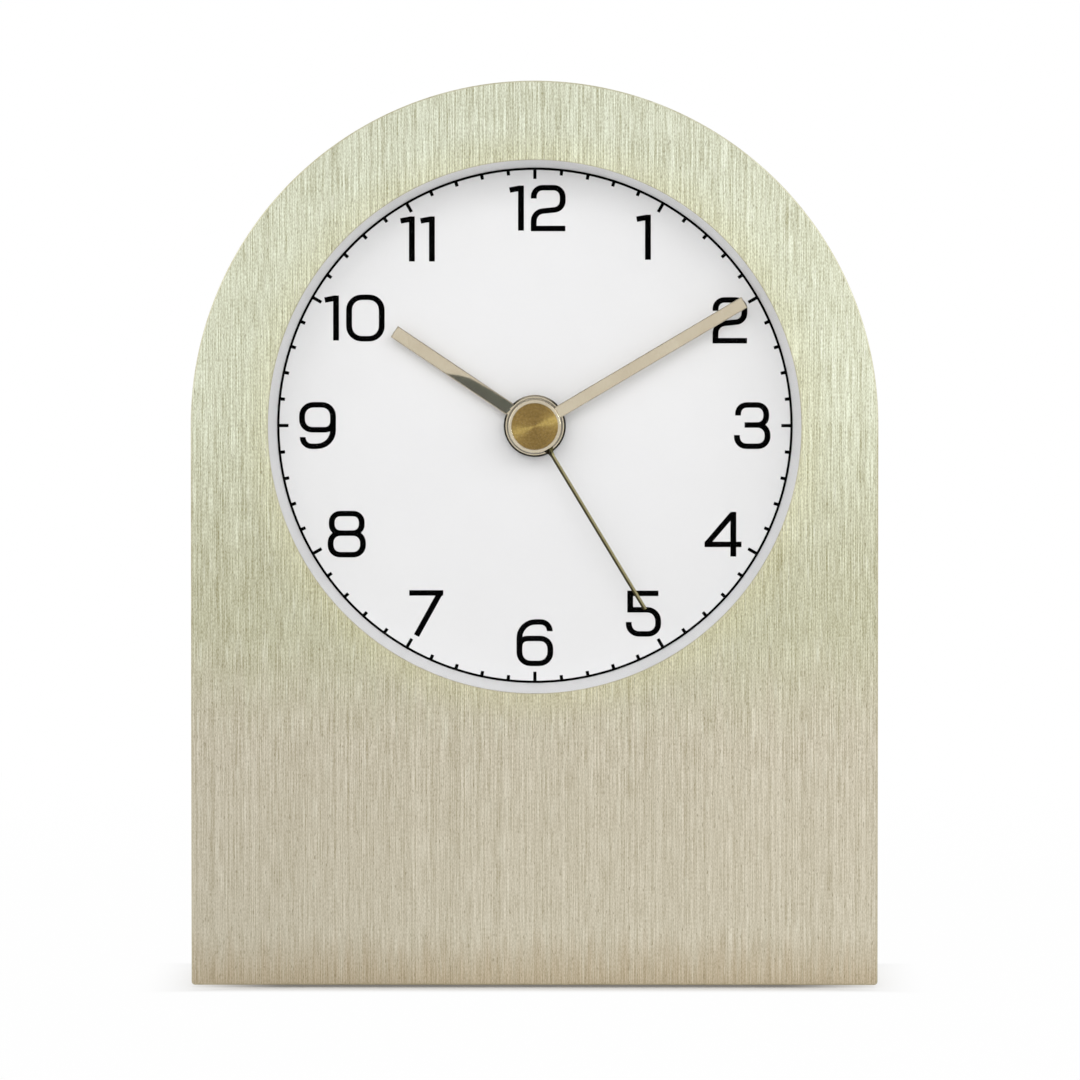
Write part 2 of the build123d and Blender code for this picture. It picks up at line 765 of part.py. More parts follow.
# Rotor: pinion and shaft, with the magnet pressed on
with BuildPart() as rotor:
    add(pinion(rotor_teeth, rotor_module, rotor_turn, intermediate_level, rotor_axis))
    pinion_front = intermediate_level - pinion_overhang
    pinion_back = intermediate_level + wheel_thickness + pinion_overhang
    bearing_end = level(magnet_back + end_shake + pivot_length)
    add(turned([(fine_pivot_radius, level(pinion_back)), (bearing_radius, level(magnet_front)),
                (magnet_bore - press_gap, level(magnet_back)), (fine_pivot_radius, bearing_end)],
               level(pinion_front - end_shake - pivot_length), rotor_axis))

with BuildPart() as rotor_magnet:
    add(turned([(magnet_radius, level(magnet_back))], level(magnet_front), rotor_axis, bore=magnet_bore))

# Minute wheel of the motion work
with BuildPart() as minute_wheel:
    add(wheel(minute_teeth, cannon_module, minute_turn, minute_level, minute_axis))
    add(pinion(minute_pinion_teeth, hour_module, minute_turn, hour_level, minute_axis))
    hub_front = level(hour_level + wheel_thickness + pinion_overhang)
    hub_back = level(minute_level + wheel_thickness + pinion_overhang)
    add(turned([(pivot_radius, hub_front), (bearing_radius, hub_back),
                (pivot_radius, level(middle_front + pivot_length))],
               level(movement_wall - pivot_length), minute_axis))

# Setting arbor and its knob
knob_front = level(movement_depth) + running_gap
knob_back = back_outer + knob_proud
with BuildPart() as setting_arbor:
    add(pinion(setting_teeth, cannon_module, setting_turn, minute_level, setting_axis))
    shoulder = level(movement_wall + end_shake)
    add(turned([(pivot_radius, shoulder), (setting_arbor_radius, back_outer)],
               level(movement_wall - pivot_length), setting_axis))

with BuildPart() as setting_knob:
    with BuildSketch(face_plane(back_inner, setting_axis)):
        Circle(knob_radius - knob_ridge)
        with PolarLocations(knob_radius - knob_ridge, knob_teeth):
            RegularPolygon(2 * knob_ridge, 4, rotation=45)
    extrude(amount=back_inner - knob_back)
    add(turned([(knob_radius - 2 * knob_ridge, back_inner)], knob_front, setting_axis))
    socket = turned([(setting_arbor_radius + press_gap, back_outer + end_shake)], knob_front, setting_axis)
    add(socket, mode=Mode.SUBTRACT)
    chamfer(setting_knob.faces().sort_by(Axis.Y)[-1].edges(), edge_break)

# Stator, coil core, bobbin and winding
with BuildPart() as stator:
    tab_top = coil_height + stator_width / 2
    with BuildSketch(face_plane(level(stator_front))):
        with Locations((stator_left, stator_base)):
            Rectangle(stator_right - stator_left, stator_width, align=(Align.MIN, Align.MIN))
            Rectangle(stator_width, tab_top - stator_base, align=(Align.MIN, Align.MIN))
        with Locations((stator_right, stator_base)):
            Rectangle(stator_width, tab_top - stator_base, align=(Align.MAX, Align.MIN))
        with Locations(rotor_axis):
            Circle(magnet_radius + running_gap + stator_ring)
            Circle(magnet_radius + running_gap, mode=Mode.SUBTRACT)
        with Locations(*core_ends):
            Circle(pivot_radius + screw_gap, mode=Mode.SUBTRACT)
    extrude(amount=-stator_thickness)

with BuildPart() as coil_core:
    with BuildSketch(face_plane(level(core_front))):
        with Locations(((stator_left + stator_right) / 2, coil_height)):
            Rectangle(stator_right - stator_left, stator_width)
        with Locations(*core_ends):
            Circle(pivot_radius + screw_gap, mode=Mode.SUBTRACT)
    extrude(amount=-stator_thickness)


def coil_plane(x):
    """Plane square to the coil's axis, centred on the core: depth across, height up."""
    centre = face_plane(level(core_front + stator_thickness / 2), (x, coil_height)).origin
    return Plane(origin=centre, x_dir=(0, 1, 0), z_dir=(1, 0, 0))


sleeve_depth = stator_thickness + 2 * bobbin_flange
sleeve_height = stator_width + 2 * bobbin_flange
winding_left = coil_left + bobbin_flange
winding_length = coil_right - coil_left - 2 * bobbin_flange
with BuildPart() as coil_bobbin:
    with BuildSketch(coil_plane(coil_left)):
        Rectangle(bobbin_depth, bobbin_height)
    extrude(amount=coil_right - coil_left)
    with BuildSketch(coil_plane(winding_left)):
        Rectangle(2 * bobbin_depth, 2 * bobbin_height)
        Rectangle(sleeve_depth, sleeve_height, mode=Mode.SUBTRACT)
    extrude(amount=winding_length, mode=Mode.SUBTRACT)
    with BuildSketch(coil_plane(coil_left)):
        Rectangle(stator_thickness + fit_gap, stator_width + fit_gap)
    extrude(amount=coil_right - coil_left, mode=Mode.SUBTRACT)

with BuildPart() as coil_winding:
    with BuildSketch(coil_plane(winding_left)):
        RectangleRounded(bobbin_depth - winding_inset, bobbin_height - winding_inset, winding_corner)
        Rectangle(sleeve_depth, sleeve_height, mode=Mode.SUBTRACT)
    extrude(amount=winding_length)

# Circuit board with its chip under a drop of resin, and the crystal in its can
board_front = level(middle_back + standoff_height)
board_back = board_front + board_thickness
with BuildPart() as circuit_board:
    with BuildSketch(face_plane(board_front)):
        with Locations(board_middle):
            Rectangle(board_width, board_height)
    extrude(amount=-board_thickness)

chip_place = (board_middle[0], board_middle[1] + board_height / 2 - chip_radius - running_gap)
with BuildPart() as chip_cover:
    add(turned([(chip_radius, board_back + chip_height)], board_back, chip_place))
    fillet(chip_cover.faces().sort_by(Axis.Y)[-1].edges(), chip_height - fit_gap)

with BuildPart() as quartz_crystal:
    crystal_place = (board_middle[0] - crystal_length / 2, board_bottom + 2 * crystal_radius)
    crystal_end = face_plane(board_back + crystal_radius, crystal_place).origin
    with BuildSketch(Plane(origin=crystal_end, z_dir=(1, 0, 0))):
        Circle(crystal_radius)
    extrude(amount=crystal_length)

# Battery lying across the bay, with its raised end to the left
with BuildPart() as battery:
    battery_end = face_plane(battery_depth, (-battery_length / 2, battery_z)).origin
    battery_plane = Plane(origin=battery_end, x_dir=(0, 0, 1), z_dir=(0, 1, 0))
    with BuildSketch(battery_plane):
        with BuildLine():
            Polyline(
                (0, 0),
                (battery_nub_radius, 0),
                (battery_nub_radius, battery_nub_length),
                (battery_radius, battery_nub_length),
                (battery_radius, battery_length),
                (0, battery_length),
                close=True,
            )
        make_face()
    revolve(axis=Axis(battery_plane.origin, (1, 0, 0)))
    rims = battery.edges().filter_by(GeomType.CIRCLE).filter_by(lambda rim: rim.radius > battery_nub_radius)
    chamfer(rims, edge_break)

# Stamped contacts: plates at the ends of the bay, with tails up to the circuit board
contact_half_height = battery_radius - 2 * battery_gap
tail_z = board_bottom + board_height / 2
with BuildPart() as positive_contact:
    with BuildSketch(face_plane(battery_depth - contact_half_height)):
        with Locations((-bay_half, battery_z)):
            Rectangle(contact_thickness, 2 * contact_half_height, align=(Align.MIN, Align.CENTER))
    extrude(amount=-2 * contact_half_height)
    dimple_centre = face_plane(battery_depth, (-bay_half, battery_z)).origin
    with BuildSketch(Plane(origin=dimple_centre, z_dir=(1, 0, 0))):
        Circle(battery_nub_radius / 2)
    extrude(amount=contact_room - fit_gap)
    with BuildSketch(face_plane(board_back)):
        with Locations((-bay_half, battery_z)):
            Rectangle(contact_thickness, tail_z - battery_z, align=(Align.MIN, Align.MIN))
    extrude(amount=-tail_width)
    with BuildSketch(face_plane(board_back)):
        with Locations((-bay_half, tail_z)):
            Rectangle(bay_half + board_left + tail_width, tail_width, align=(Align.MIN, Align.MAX))
    extrude(amount=-contact_thickness)

# Negative contact: a sprung leaf at the right, and a strip under the divider that leads to the board
strip_z = -train_drop - divider_wall
strip_front = level(movement_wall)
tail_left = contact_thickness + running_gap - bay_half
leaf_reach = contact_room - fit_gap
with BuildPart() as negative_contact:
    with BuildSketch(face_plane(battery_depth - contact_half_height)):
        with Locations((bay_half, battery_z)):
            Rectangle(contact_thickness, 2 * tail_width, align=(Align.MAX, Align.CENTER))
    extrude(amount=-2 * contact_half_height)
    leaf_origin = face_plane(battery_depth, (bay_half, battery_z - tail_width)).origin
    with BuildSketch(Plane(origin=leaf_origin, x_dir=(1, 0, 0), z_dir=(0, 0, 1))):
        with BuildLine():
            Polyline(
                (-contact_thickness, contact_half_height),
                (-leaf_reach, contact_thickness),
                (-leaf_reach, -contact_thickness),
                (contact_thickness - leaf_reach, -contact_thickness),
                (contact_thickness - leaf_reach, contact_thickness),
                (-contact_thickness, contact_half_height - 2 * contact_thickness),
                close=True,
            )
        make_face()
    extrude(amount=2 * tail_width)
    with BuildSketch(face_plane(strip_front)):
        with Locations((bay_half, strip_z)):
            Rectangle(contact_thickness, strip_z - battery_z, align=Align.MAX)
            Rectangle(bay_half - tail_left, contact_thickness, align=Align.MAX)
    extrude(amount=-tail_width)
    with BuildSketch(face_plane(strip_front)):
        with Locations((bay_half, battery_z)):
            Rectangle(contact_thickness, 2 * tail_width, align=(Align.MAX, Align.CENTER))
    extrude(amount=strip_front - battery_depth)
    with BuildSketch(face_plane(strip_front)):
        with Locations((tail_left, strip_z)):
            Rectangle(tail_width, contact_thickness, align=(Align.MIN, Align.MAX))
    extrude(amount=strip_front - board_back - contact_thickness)
    with BuildSketch(face_plane(board_back)):
        with Locations((tail_left, strip_z - contact_thickness)):
            Rectangle(tail_width, board_bottom + tail_width - strip_z, align=Align.MIN)
    extrude(amount=-contact_thickness)

# Back cover with the door opening, the well and hole of the knob, and the screw holes
knuckle_radius = (door_frame + cover_thickness) / 2
hinge_depth = back_outer - knuckle_radius
door_centre = (0, bay_middle)
hinge_z = bay_middle - door_height / 2 + door_gap + knuckle_radius
door_half = door_width / 2 - door_gap


def hinge_plane(x):
    """Plane square to the door's hinge: depth across, height up, centred on the hinge."""
    return Plane(origin=face_plane(hinge_depth, (x, hinge_z)).origin, x_dir=(0, 1, 0), z_dir=(1, 0, 0))


with BuildPart() as back_cover:
    with BuildSketch(face_plane(back_inner)):
        add(arch(band_wall + fit_gap))
    extrude(amount=-cover_thickness)
    chamfer(back_cover.faces().sort_by(Axis.Y)[-1].edges(), edge_break)
    with BuildSketch(face_plane(back_outer)):
        with Locations(setting_axis):
            Circle(knob_radius + knob_well_width)
    extrude(amount=knob_well_depth, mode=Mode.SUBTRACT)
    with BuildSketch(face_plane(back_inner - door_frame)):
        with Locations(door_centre):
            Rectangle(door_width + 4 * door_frame, door_height + 2 * door_frame)
    extrude(amount=-door_frame)
    with BuildSketch(face_plane(back_inner - door_frame)):
        with Locations(door_centre):
            Rectangle(door_width, door_height)
        with Locations(setting_axis):
            Circle(knob_radius + running_gap)
    extrude(amount=-door_frame - cover_thickness, mode=Mode.SUBTRACT)
    pin_reach = door_half + door_pin_length
    with BuildSketch(hinge_plane(-pin_reach - end_shake)):
        Circle(door_pin_radius + pivot_gap)
    extrude(amount=2 * (pin_reach + end_shake), mode=Mode.SUBTRACT)
    with BuildSketch(face_plane(back_inner)):
        with Locations(*back_posts):
            Circle(screw_radius + fit_gap)
    extrude(amount=-cover_thickness, mode=Mode.SUBTRACT)
    with BuildSketch(face_plane(back_outer - screw_head_height)):
        with Locations(*back_posts):
            Circle(screw_head_radius + fit_gap)
    extrude(amount=-screw_head_height, mode=Mode.SUBTRACT)

# Battery door: a plate on a round knuckle, with two ribs that steady the battery and a grip for the finger
door_top = door_height - 2 * door_gap - knuckle_radius
rib_reach = back_outer - door_thickness - battery_depth - battery_radius - battery_gap
rib_half = battery_radius / 2
rib_middle = battery_z - hinge_z
with BuildPart() as battery_door:
    with BuildSketch(hinge_plane(-door_half)):
        Circle(knuckle_radius)
        with Locations((knuckle_radius, 0)):
            Rectangle(door_thickness, door_top, align=(Align.MAX, Align.MIN))
    extrude(amount=2 * door_half)
    with BuildSketch(hinge_plane(-pin_reach)):
        Circle(door_pin_radius)
    extrude(amount=2 * pin_reach)
    for rib_x in (-door_width / 4, door_width / 4):
        with BuildSketch(hinge_plane(rib_x)):
            with Locations((knuckle_radius - door_thickness, rib_middle)):
                Rectangle(rib_reach, 2 * rib_half, align=(Align.MAX, Align.CENTER))
        extrude(amount=door_frame)
    with BuildSketch(face_plane(back_outer, (0, hinge_z + door_top))):
        Circle(door_notch_radius)
    extrude(amount=door_thickness / 2, mode=Mode.SUBTRACT)
    grip_z = hinge_z + door_top - door_notch_radius - grip_count * grip_pitch / 2
    with BuildSketch(face_plane(back_outer, (0, grip_z))):
        with GridLocations(0, grip_pitch, 1, grip_count):
            SlotOverall(grip_length, grip_width)
    extrude(amount=-grip_height)

# Export
pieces = {
    "front_plate": front_plate,
    "case_band": case_band,
    "foot_pads": foot_pads,
    "chassis": chassis,
    "lens": lens,
    "dial_ring": dial_ring,
    "dial": dial,
    "movement_carrier": movement_carrier,
    "carrier_screws": carrier_screws,
    "movement_screws": movement_screws,
    "back_screws": back_screws,
    "hour_hand": hour_hand,
    "minute_hand": minute_hand,
    "seconds_hand": seconds_hand,
    "hub_cap": hub_cap,
    "cap_disc": cap_disc,
    "movement_case": movement_case,
    "middle_plate": middle_plate,
    "movement_cover": movement_cover,
    "hour_wheel": hour_wheel,
    "minute_arbor": minute_arbor,
    "centre_wheel": centre_wheel,
    "third_wheel": third_wheel,
    "seconds_wheel": seconds_wheel,
    "intermediate_wheel": intermediate_wheel,
    "rotor": rotor,
    "rotor_magnet": rotor_magnet,
    "minute_wheel": minute_wheel,
    "setting_arbor": setting_arbor,
    "setting_knob": setting_knob,
    "stator": stator,
    "coil_core": coil_core,
    "coil_bobbin": coil_bobbin,
    "coil_winding": coil_winding,
    "circuit_board": circuit_board,
    "chip_cover": chip_cover,
    "quartz_crystal": quartz_crystal,
    "battery": battery,
    "positive_contact": positive_contact,
    "negative_contact": negative_contact,
    "back_cover": back_cover,
    "battery_door": battery_door,
}
os.makedirs("parts", exist_ok=True)
for name, piece in pieces.items():
    piece.part.label = name
    export_step(piece.part, f"parts/{name}.step")
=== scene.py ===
import json
import math

import bmesh
import bpy
import numpy as np
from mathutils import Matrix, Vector


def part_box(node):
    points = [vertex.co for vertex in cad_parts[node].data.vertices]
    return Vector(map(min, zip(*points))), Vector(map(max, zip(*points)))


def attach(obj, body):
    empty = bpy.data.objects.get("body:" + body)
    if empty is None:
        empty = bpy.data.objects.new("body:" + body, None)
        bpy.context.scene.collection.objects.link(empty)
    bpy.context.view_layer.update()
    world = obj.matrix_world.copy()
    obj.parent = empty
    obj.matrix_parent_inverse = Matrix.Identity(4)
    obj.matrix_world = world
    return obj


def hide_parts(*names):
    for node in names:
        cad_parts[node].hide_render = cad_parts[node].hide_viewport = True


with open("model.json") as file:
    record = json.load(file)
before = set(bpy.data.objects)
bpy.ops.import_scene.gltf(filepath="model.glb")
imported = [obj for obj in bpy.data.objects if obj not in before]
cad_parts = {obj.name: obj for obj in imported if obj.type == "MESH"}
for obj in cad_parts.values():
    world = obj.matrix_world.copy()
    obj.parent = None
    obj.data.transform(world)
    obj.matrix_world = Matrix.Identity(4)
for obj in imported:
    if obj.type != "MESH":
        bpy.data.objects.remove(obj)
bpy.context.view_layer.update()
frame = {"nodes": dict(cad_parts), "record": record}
mm = 0.001
print("frame loaded:", len(frame["nodes"]), "nodes")

plateLow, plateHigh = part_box("front_plate")
bandLow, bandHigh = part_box("case_band")
dialLow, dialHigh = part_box("dial")
halfWidth = plateHigh.x
baseHeight = plateLow.z
archHeight = plateHigh.z - halfWidth  # centre of the arch
dialCentre = ((dialLow.x + dialHigh.x) / 2, (dialLow.z + dialHigh.z) / 2)  # x and z
dialFront = dialLow.y
windowRadius = 46.6 * mm


# Mesh helpers

# A grid of points, closed along its rows, becomes quads that are turned so that their signed volume is
# positive, and points that fall together, at poles and folded rows, are merged.
def shell(name, grid, uv=None, marks=None, wrapRows=False, sharpAngle=32.0, mergeWithin=1e-8):
    rows, cols = grid.shape[:2]
    index = np.arange(rows * cols).reshape(rows, cols)
    if wrapRows:
        index = np.vstack([index, index[:1]])
    index = np.hstack([index, index[:, :1]])
    uvIndex = np.arange(index.size).reshape(index.shape)
    order = [(slice(None, -1), slice(None, -1)), (slice(None, -1), slice(1, None)),
             (slice(1, None), slice(1, None)), (slice(1, None), slice(None, -1))]
    quads = np.stack([index[part] for part in order], -1).reshape(-1, 4)
    uvQuads = np.stack([uvIndex[part] for part in order], -1).reshape(-1, 4)
    points = grid.reshape(-1, 3)
    a, b, c, d = (points[quads[:, k]] for k in range(4))
    if (a * (np.cross(b, c) + np.cross(c, d))).sum() < 0:
        quads, uvQuads = quads[:, ::-1], uvQuads[:, ::-1]
    mesh = bpy.data.meshes.new(name)
    mesh.from_pydata(points.tolist(), [], quads.tolist())
    if uv is not None:
        layer = mesh.uv_layers.new(name="UVMap")
        layer.data.foreach_set("uv", uv.reshape(-1, 2)[uvQuads.ravel()].astype(np.float32).ravel())
    # marks carry painted shade: a finish darkens towards the marked places
    if marks is not None:
        attribute = mesh.attributes.new("edgeMark", "FLOAT", "POINT")
        attribute.data.foreach_set("value", marks.astype(np.float32).ravel())
    work = bmesh.new()
    work.from_mesh(mesh)
    bmesh.ops.remove_doubles(work, verts=work.verts, dist=mergeWithin)
    work.to_mesh(mesh)
    work.free()
    mesh.shade_smooth()
    mesh.set_sharp_from_angle(angle=math.radians(sharpAngle))
    return mesh


# Corners (across, along, radius) become a line whose corners are arcs: each arc runs between the
# two tangent points by spherical blending of the radii that end there.
def roundedPath(corners, closed=False, steps=7):
    place = np.array([corner[:2] for corner in corners], float)
    parts = []
    for i, corner in enumerate(corners):
        here = place[i]
        if corner[2] == 0 or (not closed and i in (0, len(corners) - 1)):
            parts.append(here[None])
            continue
        back = place[i - 1] - here
        ahead = place[(i + 1) % len(corners)] - here
        back, ahead = back / np.linalg.norm(back), ahead / np.linalg.norm(ahead)
        half = math.acos(np.clip(back @ ahead, -1, 1)) / 2
        centre = here + (back + ahead) / np.linalg.norm(back + ahead) * corner[2] / math.sin(half)
        first = here + back * corner[2] / math.tan(half) - centre
        last = here + ahead * corner[2] / math.tan(half) - centre
        sweep = math.pi - 2 * half
        share = np.linspace(0, 1, steps)[:, None]
        arc = np.sin((1 - share) * sweep) * first + np.sin(share * sweep) * last
        parts.append(centre + arc / math.sin(sweep))
    return np.vstack(parts)


# Length along a line of points from its first point; a closed line comes back to it.
def lengthAlong(points, closed=True):
    line = np.vstack([points, points[:1]]) if closed else points
    return np.concatenate([[0], np.cumsum(np.linalg.norm(np.diff(line, axis=0), axis=1))])


# Points across the face (x, z) and their depth y, put together as places.
def atDepth(flat, depth):
    return np.stack([flat[..., 0], np.broadcast_to(depth, flat.shape[:-1]), flat[..., 1]], -1)


# A profile of (radius, depth) turned about the line through the dial's centre: x = r cos a, z = r sin a.
def turned(name, profile, steps=192, closed=False):
    angle = np.linspace(0, 2 * np.pi, steps + 1)
    radius, depth = profile[:, :1], profile[:, 1:2]
    across, up = radius * np.cos(angle[None, :-1]), radius * np.sin(angle[None, :-1])
    circle = np.stack([dialCentre[0] + across, dialCentre[1] + up], -1)
    along = lengthAlong(profile, closed)
    uv = np.stack(np.broadcast_arrays(along[:, None], angle[None, :] * profile[:, 0].max()), -1)
    return shell(name, atDepth(circle, depth), uv, wrapRows=closed)


# Meshes put together in one, each left as it is.
def joined(name, meshes):
    work = bmesh.new()
    for mesh in meshes:
        work.from_mesh(mesh)
    whole = bpy.data.meshes.new(name)
    work.to_mesh(whole)
    work.free()
    return whole


# Overlapping solids become one by a Boolean union, so that no face is left inside another.
def united(name, meshes):
    solids = [bpy.data.objects.new(name, mesh) for mesh in meshes]
    for solid in solids:
        bpy.context.scene.collection.objects.link(solid)
    for other in solids[1:]:
        union = solids[0].modifiers.new("union", "BOOLEAN")
        union.operation = "UNION"
        union.solver = "MANIFOLD"
        union.object = other
    whole = bpy.data.meshes.new_from_object(solids[0].evaluated_get(bpy.context.evaluated_depsgraph_get()))
    for solid in solids:
        bpy.data.objects.remove(solid)
    whole.shade_flat()
    return whole


# A mesh becomes a piece that rides on a body and stands for the nodes named last. It has its slot's finish,
# or another that is named.
def piece(name, mesh, body, slot, *standsFor, finish=None):
    thing = bpy.data.objects.new(name, mesh)
    bpy.context.scene.collection.objects.link(thing)
    mesh.materials.clear()
    mesh.materials.append(finishes[finish or slot])
    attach(thing, body)
    if standsFor:
        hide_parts(*standsFor)
    return thing


# Material helpers

# sRGB hex code to linear colour.
def linear(code):
    channel = np.array([int(code[k:k + 2], 16) for k in (0, 2, 4)]) / 255
    channel = np.where(channel <= 0.04045, channel / 12.92, ((channel + 0.055) / 1.055) ** 2.4)
    return (*channel.tolist(), 1.0)


# One node. An input goes in by its name or number, or two by a pair of numbers, and takes a plain value, a
# socket, or a node, whose first live output is then meant. MapRange has its value at 0, the span that this
# comes from at 1 and 2, and the span that it becomes at 3 and 4. Mix has its share at 0, and what it mixes
# at 2 and 3, or 6 and 7 for colours.
def add(tree, kind, inputs=None, **settings):
    node = tree.nodes.new("ShaderNode" + kind)
    for key, value in settings.items():
        setattr(node, key, value)
    for keys, values in (inputs or {}).items():
        for key, value in zip(keys, values) if isinstance(keys, tuple) else [(keys, values)]:
            if isinstance(value, bpy.types.Node):
                value = next(socket for socket in value.outputs if socket.enabled)
            if isinstance(value, bpy.types.NodeSocket):
                tree.links.new(value, node.inputs[key])
            else:
                node.inputs[key].default_value = value
    return node


# A material whose shader is made by a function of its node tree and its look.
def material(name, makeShader, look):
    finish = bpy.data.materials.new(name)
    finish.use_nodes = True
    tree = finish.node_tree
    tree.nodes.clear()
    add(tree, "OutputMaterial", {"Surface": makeShader(tree, look)})
    return finish


# Noise whose features have one size in millimetres, or one for each axis of the coordinates.
def grain(tree, coords, size, detail=2.0):
    stretch = (1 / (np.broadcast_to(size, 3) * mm)).tolist()
    scaled = add(tree, "VectorMath", {0: coords, 1: stretch}, operation="MULTIPLY")
    return add(tree, "TexNoise", {"Vector": scaled, "Scale": 1.0, "Detail": detail}).outputs["Fac"]


grainSpan = (0.3, 0.7)  # nearly all of a grain's values
toneSpan = (0.35, 0.65)  # a narrower span, which gives a grain more contrast
scratchDepth = 0.01  # millimetres


# Most finishes end so: a grain breaks the gloss, and a height, where there is one, gives the relief.
def surface(tree, look, gloss, height, inputs):
    span = look.get("glossSpan", grainSpan)
    inputs["Roughness"] = add(tree, "MapRange", {0: gloss, (1, 2): span, (3, 4): look["roughness"]})
    if height is not None:
        depth = look.get("depth", scratchDepth) * mm
        inputs["Normal"] = add(tree, "Bump", {"Height": height, "Strength": look["bump"], "Distance": depth})
    return add(tree, "BsdfPrincipled", inputs)


# Brushed, champagne anodised aluminium sheet: crisp hairlines that run one way, pale and olive by turns, with
# a few bright streaks and dark pits, and a gloss that spreads across the lines. A tint that shifts from foot
# to top and a warmer tint round the window are painted reflection, the brighter right side is painted light,
# and the darker rounded edges are painted shade. The real lines are a few hundredths of a millimetre wide and
# are drawn wider, so that they show.
def brushedAluminium(tree, look):
    coords = add(tree, "TexCoord").outputs
    uv, place = coords["UV"], coords["Object"]
    axes = add(tree, "SeparateXYZ", {0: place}).outputs
    height = axes["Z"]
    fade = tuple(level * mm for level in look["fade"])

    tone = -sum(share for width, length, share in look["hairs"]) / 2
    for width, length, share in look["hairs"]:
        hair = grain(tree, uv, (width, length, 1), detail=1.0)
        hair = add(tree, "MapRange", {0: hair, (1, 2): look["hairSpan"]}, interpolation_type="SMOOTHSTEP")
        tone = add(tree, "Math", {0: hair, 1: share, 2: tone}, operation="MULTIPLY_ADD")

    # painted reflection: tints by height, whose borders drift up and down along the lines
    reach = look["driftReach"] * mm
    drift = grain(tree, uv, look["drift"])
    drift = add(tree, "MapRange", {0: drift, (1, 2): grainSpan, (3, 4): (-reach, reach)})
    level = add(tree, "Math", {0: height, 1: drift}, operation="ADD")
    body = linear(look["foot"])
    for start, end, colour in look["paintedReflectionTints"]:
        share = add(tree, "MapRange", {0: level, 1: start * mm, 2: end * mm}, interpolation_type="SMOOTHSTEP")
        body = add(tree, "Mix", {0: share, 6: body, 7: linear(colour)}, data_type="RGBA")

    # painted reflection: a warmer tint round the window
    offset = add(tree, "VectorMath", {0: place, 1: (dialCentre[0], 0, dialCentre[1])}, operation="SUBTRACT")
    flat = add(tree, "VectorMath", {0: offset, 1: (1, 0, 1)}, operation="MULTIPLY")
    away = add(tree, "VectorMath", {0: flat}, operation="LENGTH")
    rim = (windowRadius, look["windowReflectionEnd"] * mm)
    share = add(tree, "MapRange", {0: away, (1, 2): rim, (3, 4): (look["windowReflectionShare"], 0.0)})
    body = add(tree, "Mix", {0: share, 6: body, 7: linear(look["windowReflectionColour"])}, data_type="RGBA")

    # the hairlines darken and lighten it, more so higher up
    contrast = add(tree, "MapRange", {0: height, (1, 2): fade, (3, 4): look["contrast"]})
    swing = add(tree, "Math", {0: tone, 1: contrast}, operation="MULTIPLY")
    shade = add(tree, "VectorMath", {0: look["hairTint"], "Scale": swing}, operation="SCALE")
    shade = add(tree, "VectorMath", {0: shade, 1: (1, 1, 1)}, operation="ADD")
    body = add(tree, "VectorMath", {0: body, 1: shade}, operation="MULTIPLY")
    # painted light: the right side is made brighter than the left, as the light falls
    side = add(tree, "MapRange", {0: axes["X"], (1, 2): (-halfWidth, halfWidth), (3, 4): look["paintedSideLight"]})
    body = add(tree, "VectorMath", {0: body, "Scale": side}, operation="SCALE")

    # streaks, pits, and painted shade on the rounded edges
    streaks = grain(tree, uv, look["streaks"], detail=1.0)
    streaks = add(tree, "MapRange", {0: streaks, (1, 2): look["streakSpan"]})
    share = add(tree, "MapRange", {0: height, (1, 2): fade, (3, 4): look["streakShare"]})
    share = add(tree, "Math", {0: streaks, 1: share}, operation="MULTIPLY")
    body = add(tree, "Mix", {0: share, 6: body, 7: linear(look["streakColour"])}, data_type="RGBA")
    pits = grain(tree, uv, look["pits"], detail=1.0)
    pits = add(tree, "MapRange", {0: pits, (1, 2): look["pitSpan"], 4: look["pitShare"]})
    body = add(tree, "Mix", {0: pits, 6: body, 7: linear(look["pitColour"])}, data_type="RGBA")
    mark = add(tree, "Attribute", attribute_name="edgeMark").outputs["Fac"]
    body = add(tree, "Mix", {0: mark, 6: body, 7: linear(look["edge"])}, data_type="RGBA")

    return surface(tree, look, tone, tone, {
        "Base Color": body, "Metallic": 1.0, "Anisotropic": look["anisotropy"],
        "Tangent": add(tree, "Tangent", direction_type="UV_MAP", uv_map="UVMap")})


# Metal with a fine even or drawn finish: slight clouds of tone, and gloss broken by the grain of the finish,
# which is drawn coarser than it is, so that it shows. Where a piece has a mark, the finish darkens towards
# it: this is painted shade and painted dark reflection, not a colour of the metal.
def plainMetal(tree, look):
    place = add(tree, "TexCoord").outputs["Object"]
    fine = grain(tree, place, look["grain"], detail=3.0)
    cloud = grain(tree, place, look["cloud"])
    tone = add(tree, "Mix", {0: 0.5, 2: fine, 3: cloud})  # half of each
    tone = add(tree, "MapRange", {0: tone, (1, 2): toneSpan})
    colour = add(tree, "Mix", {0: tone, 6: linear(look["dark"]), 7: linear(look["light"])}, data_type="RGBA")
    # painted shade: the marked edges of the hubs and the seconds hand darken to the edge colour
    if "edge" in look:
        mark = add(tree, "Attribute", attribute_name="edgeMark").outputs["Fac"]
        colour = add(tree, "Mix", {0: mark, 6: colour, 7: linear(look["edge"])}, data_type="RGBA")
    return surface(tree, look, fine, fine, {"Base Color": colour, "Metallic": 1.0})


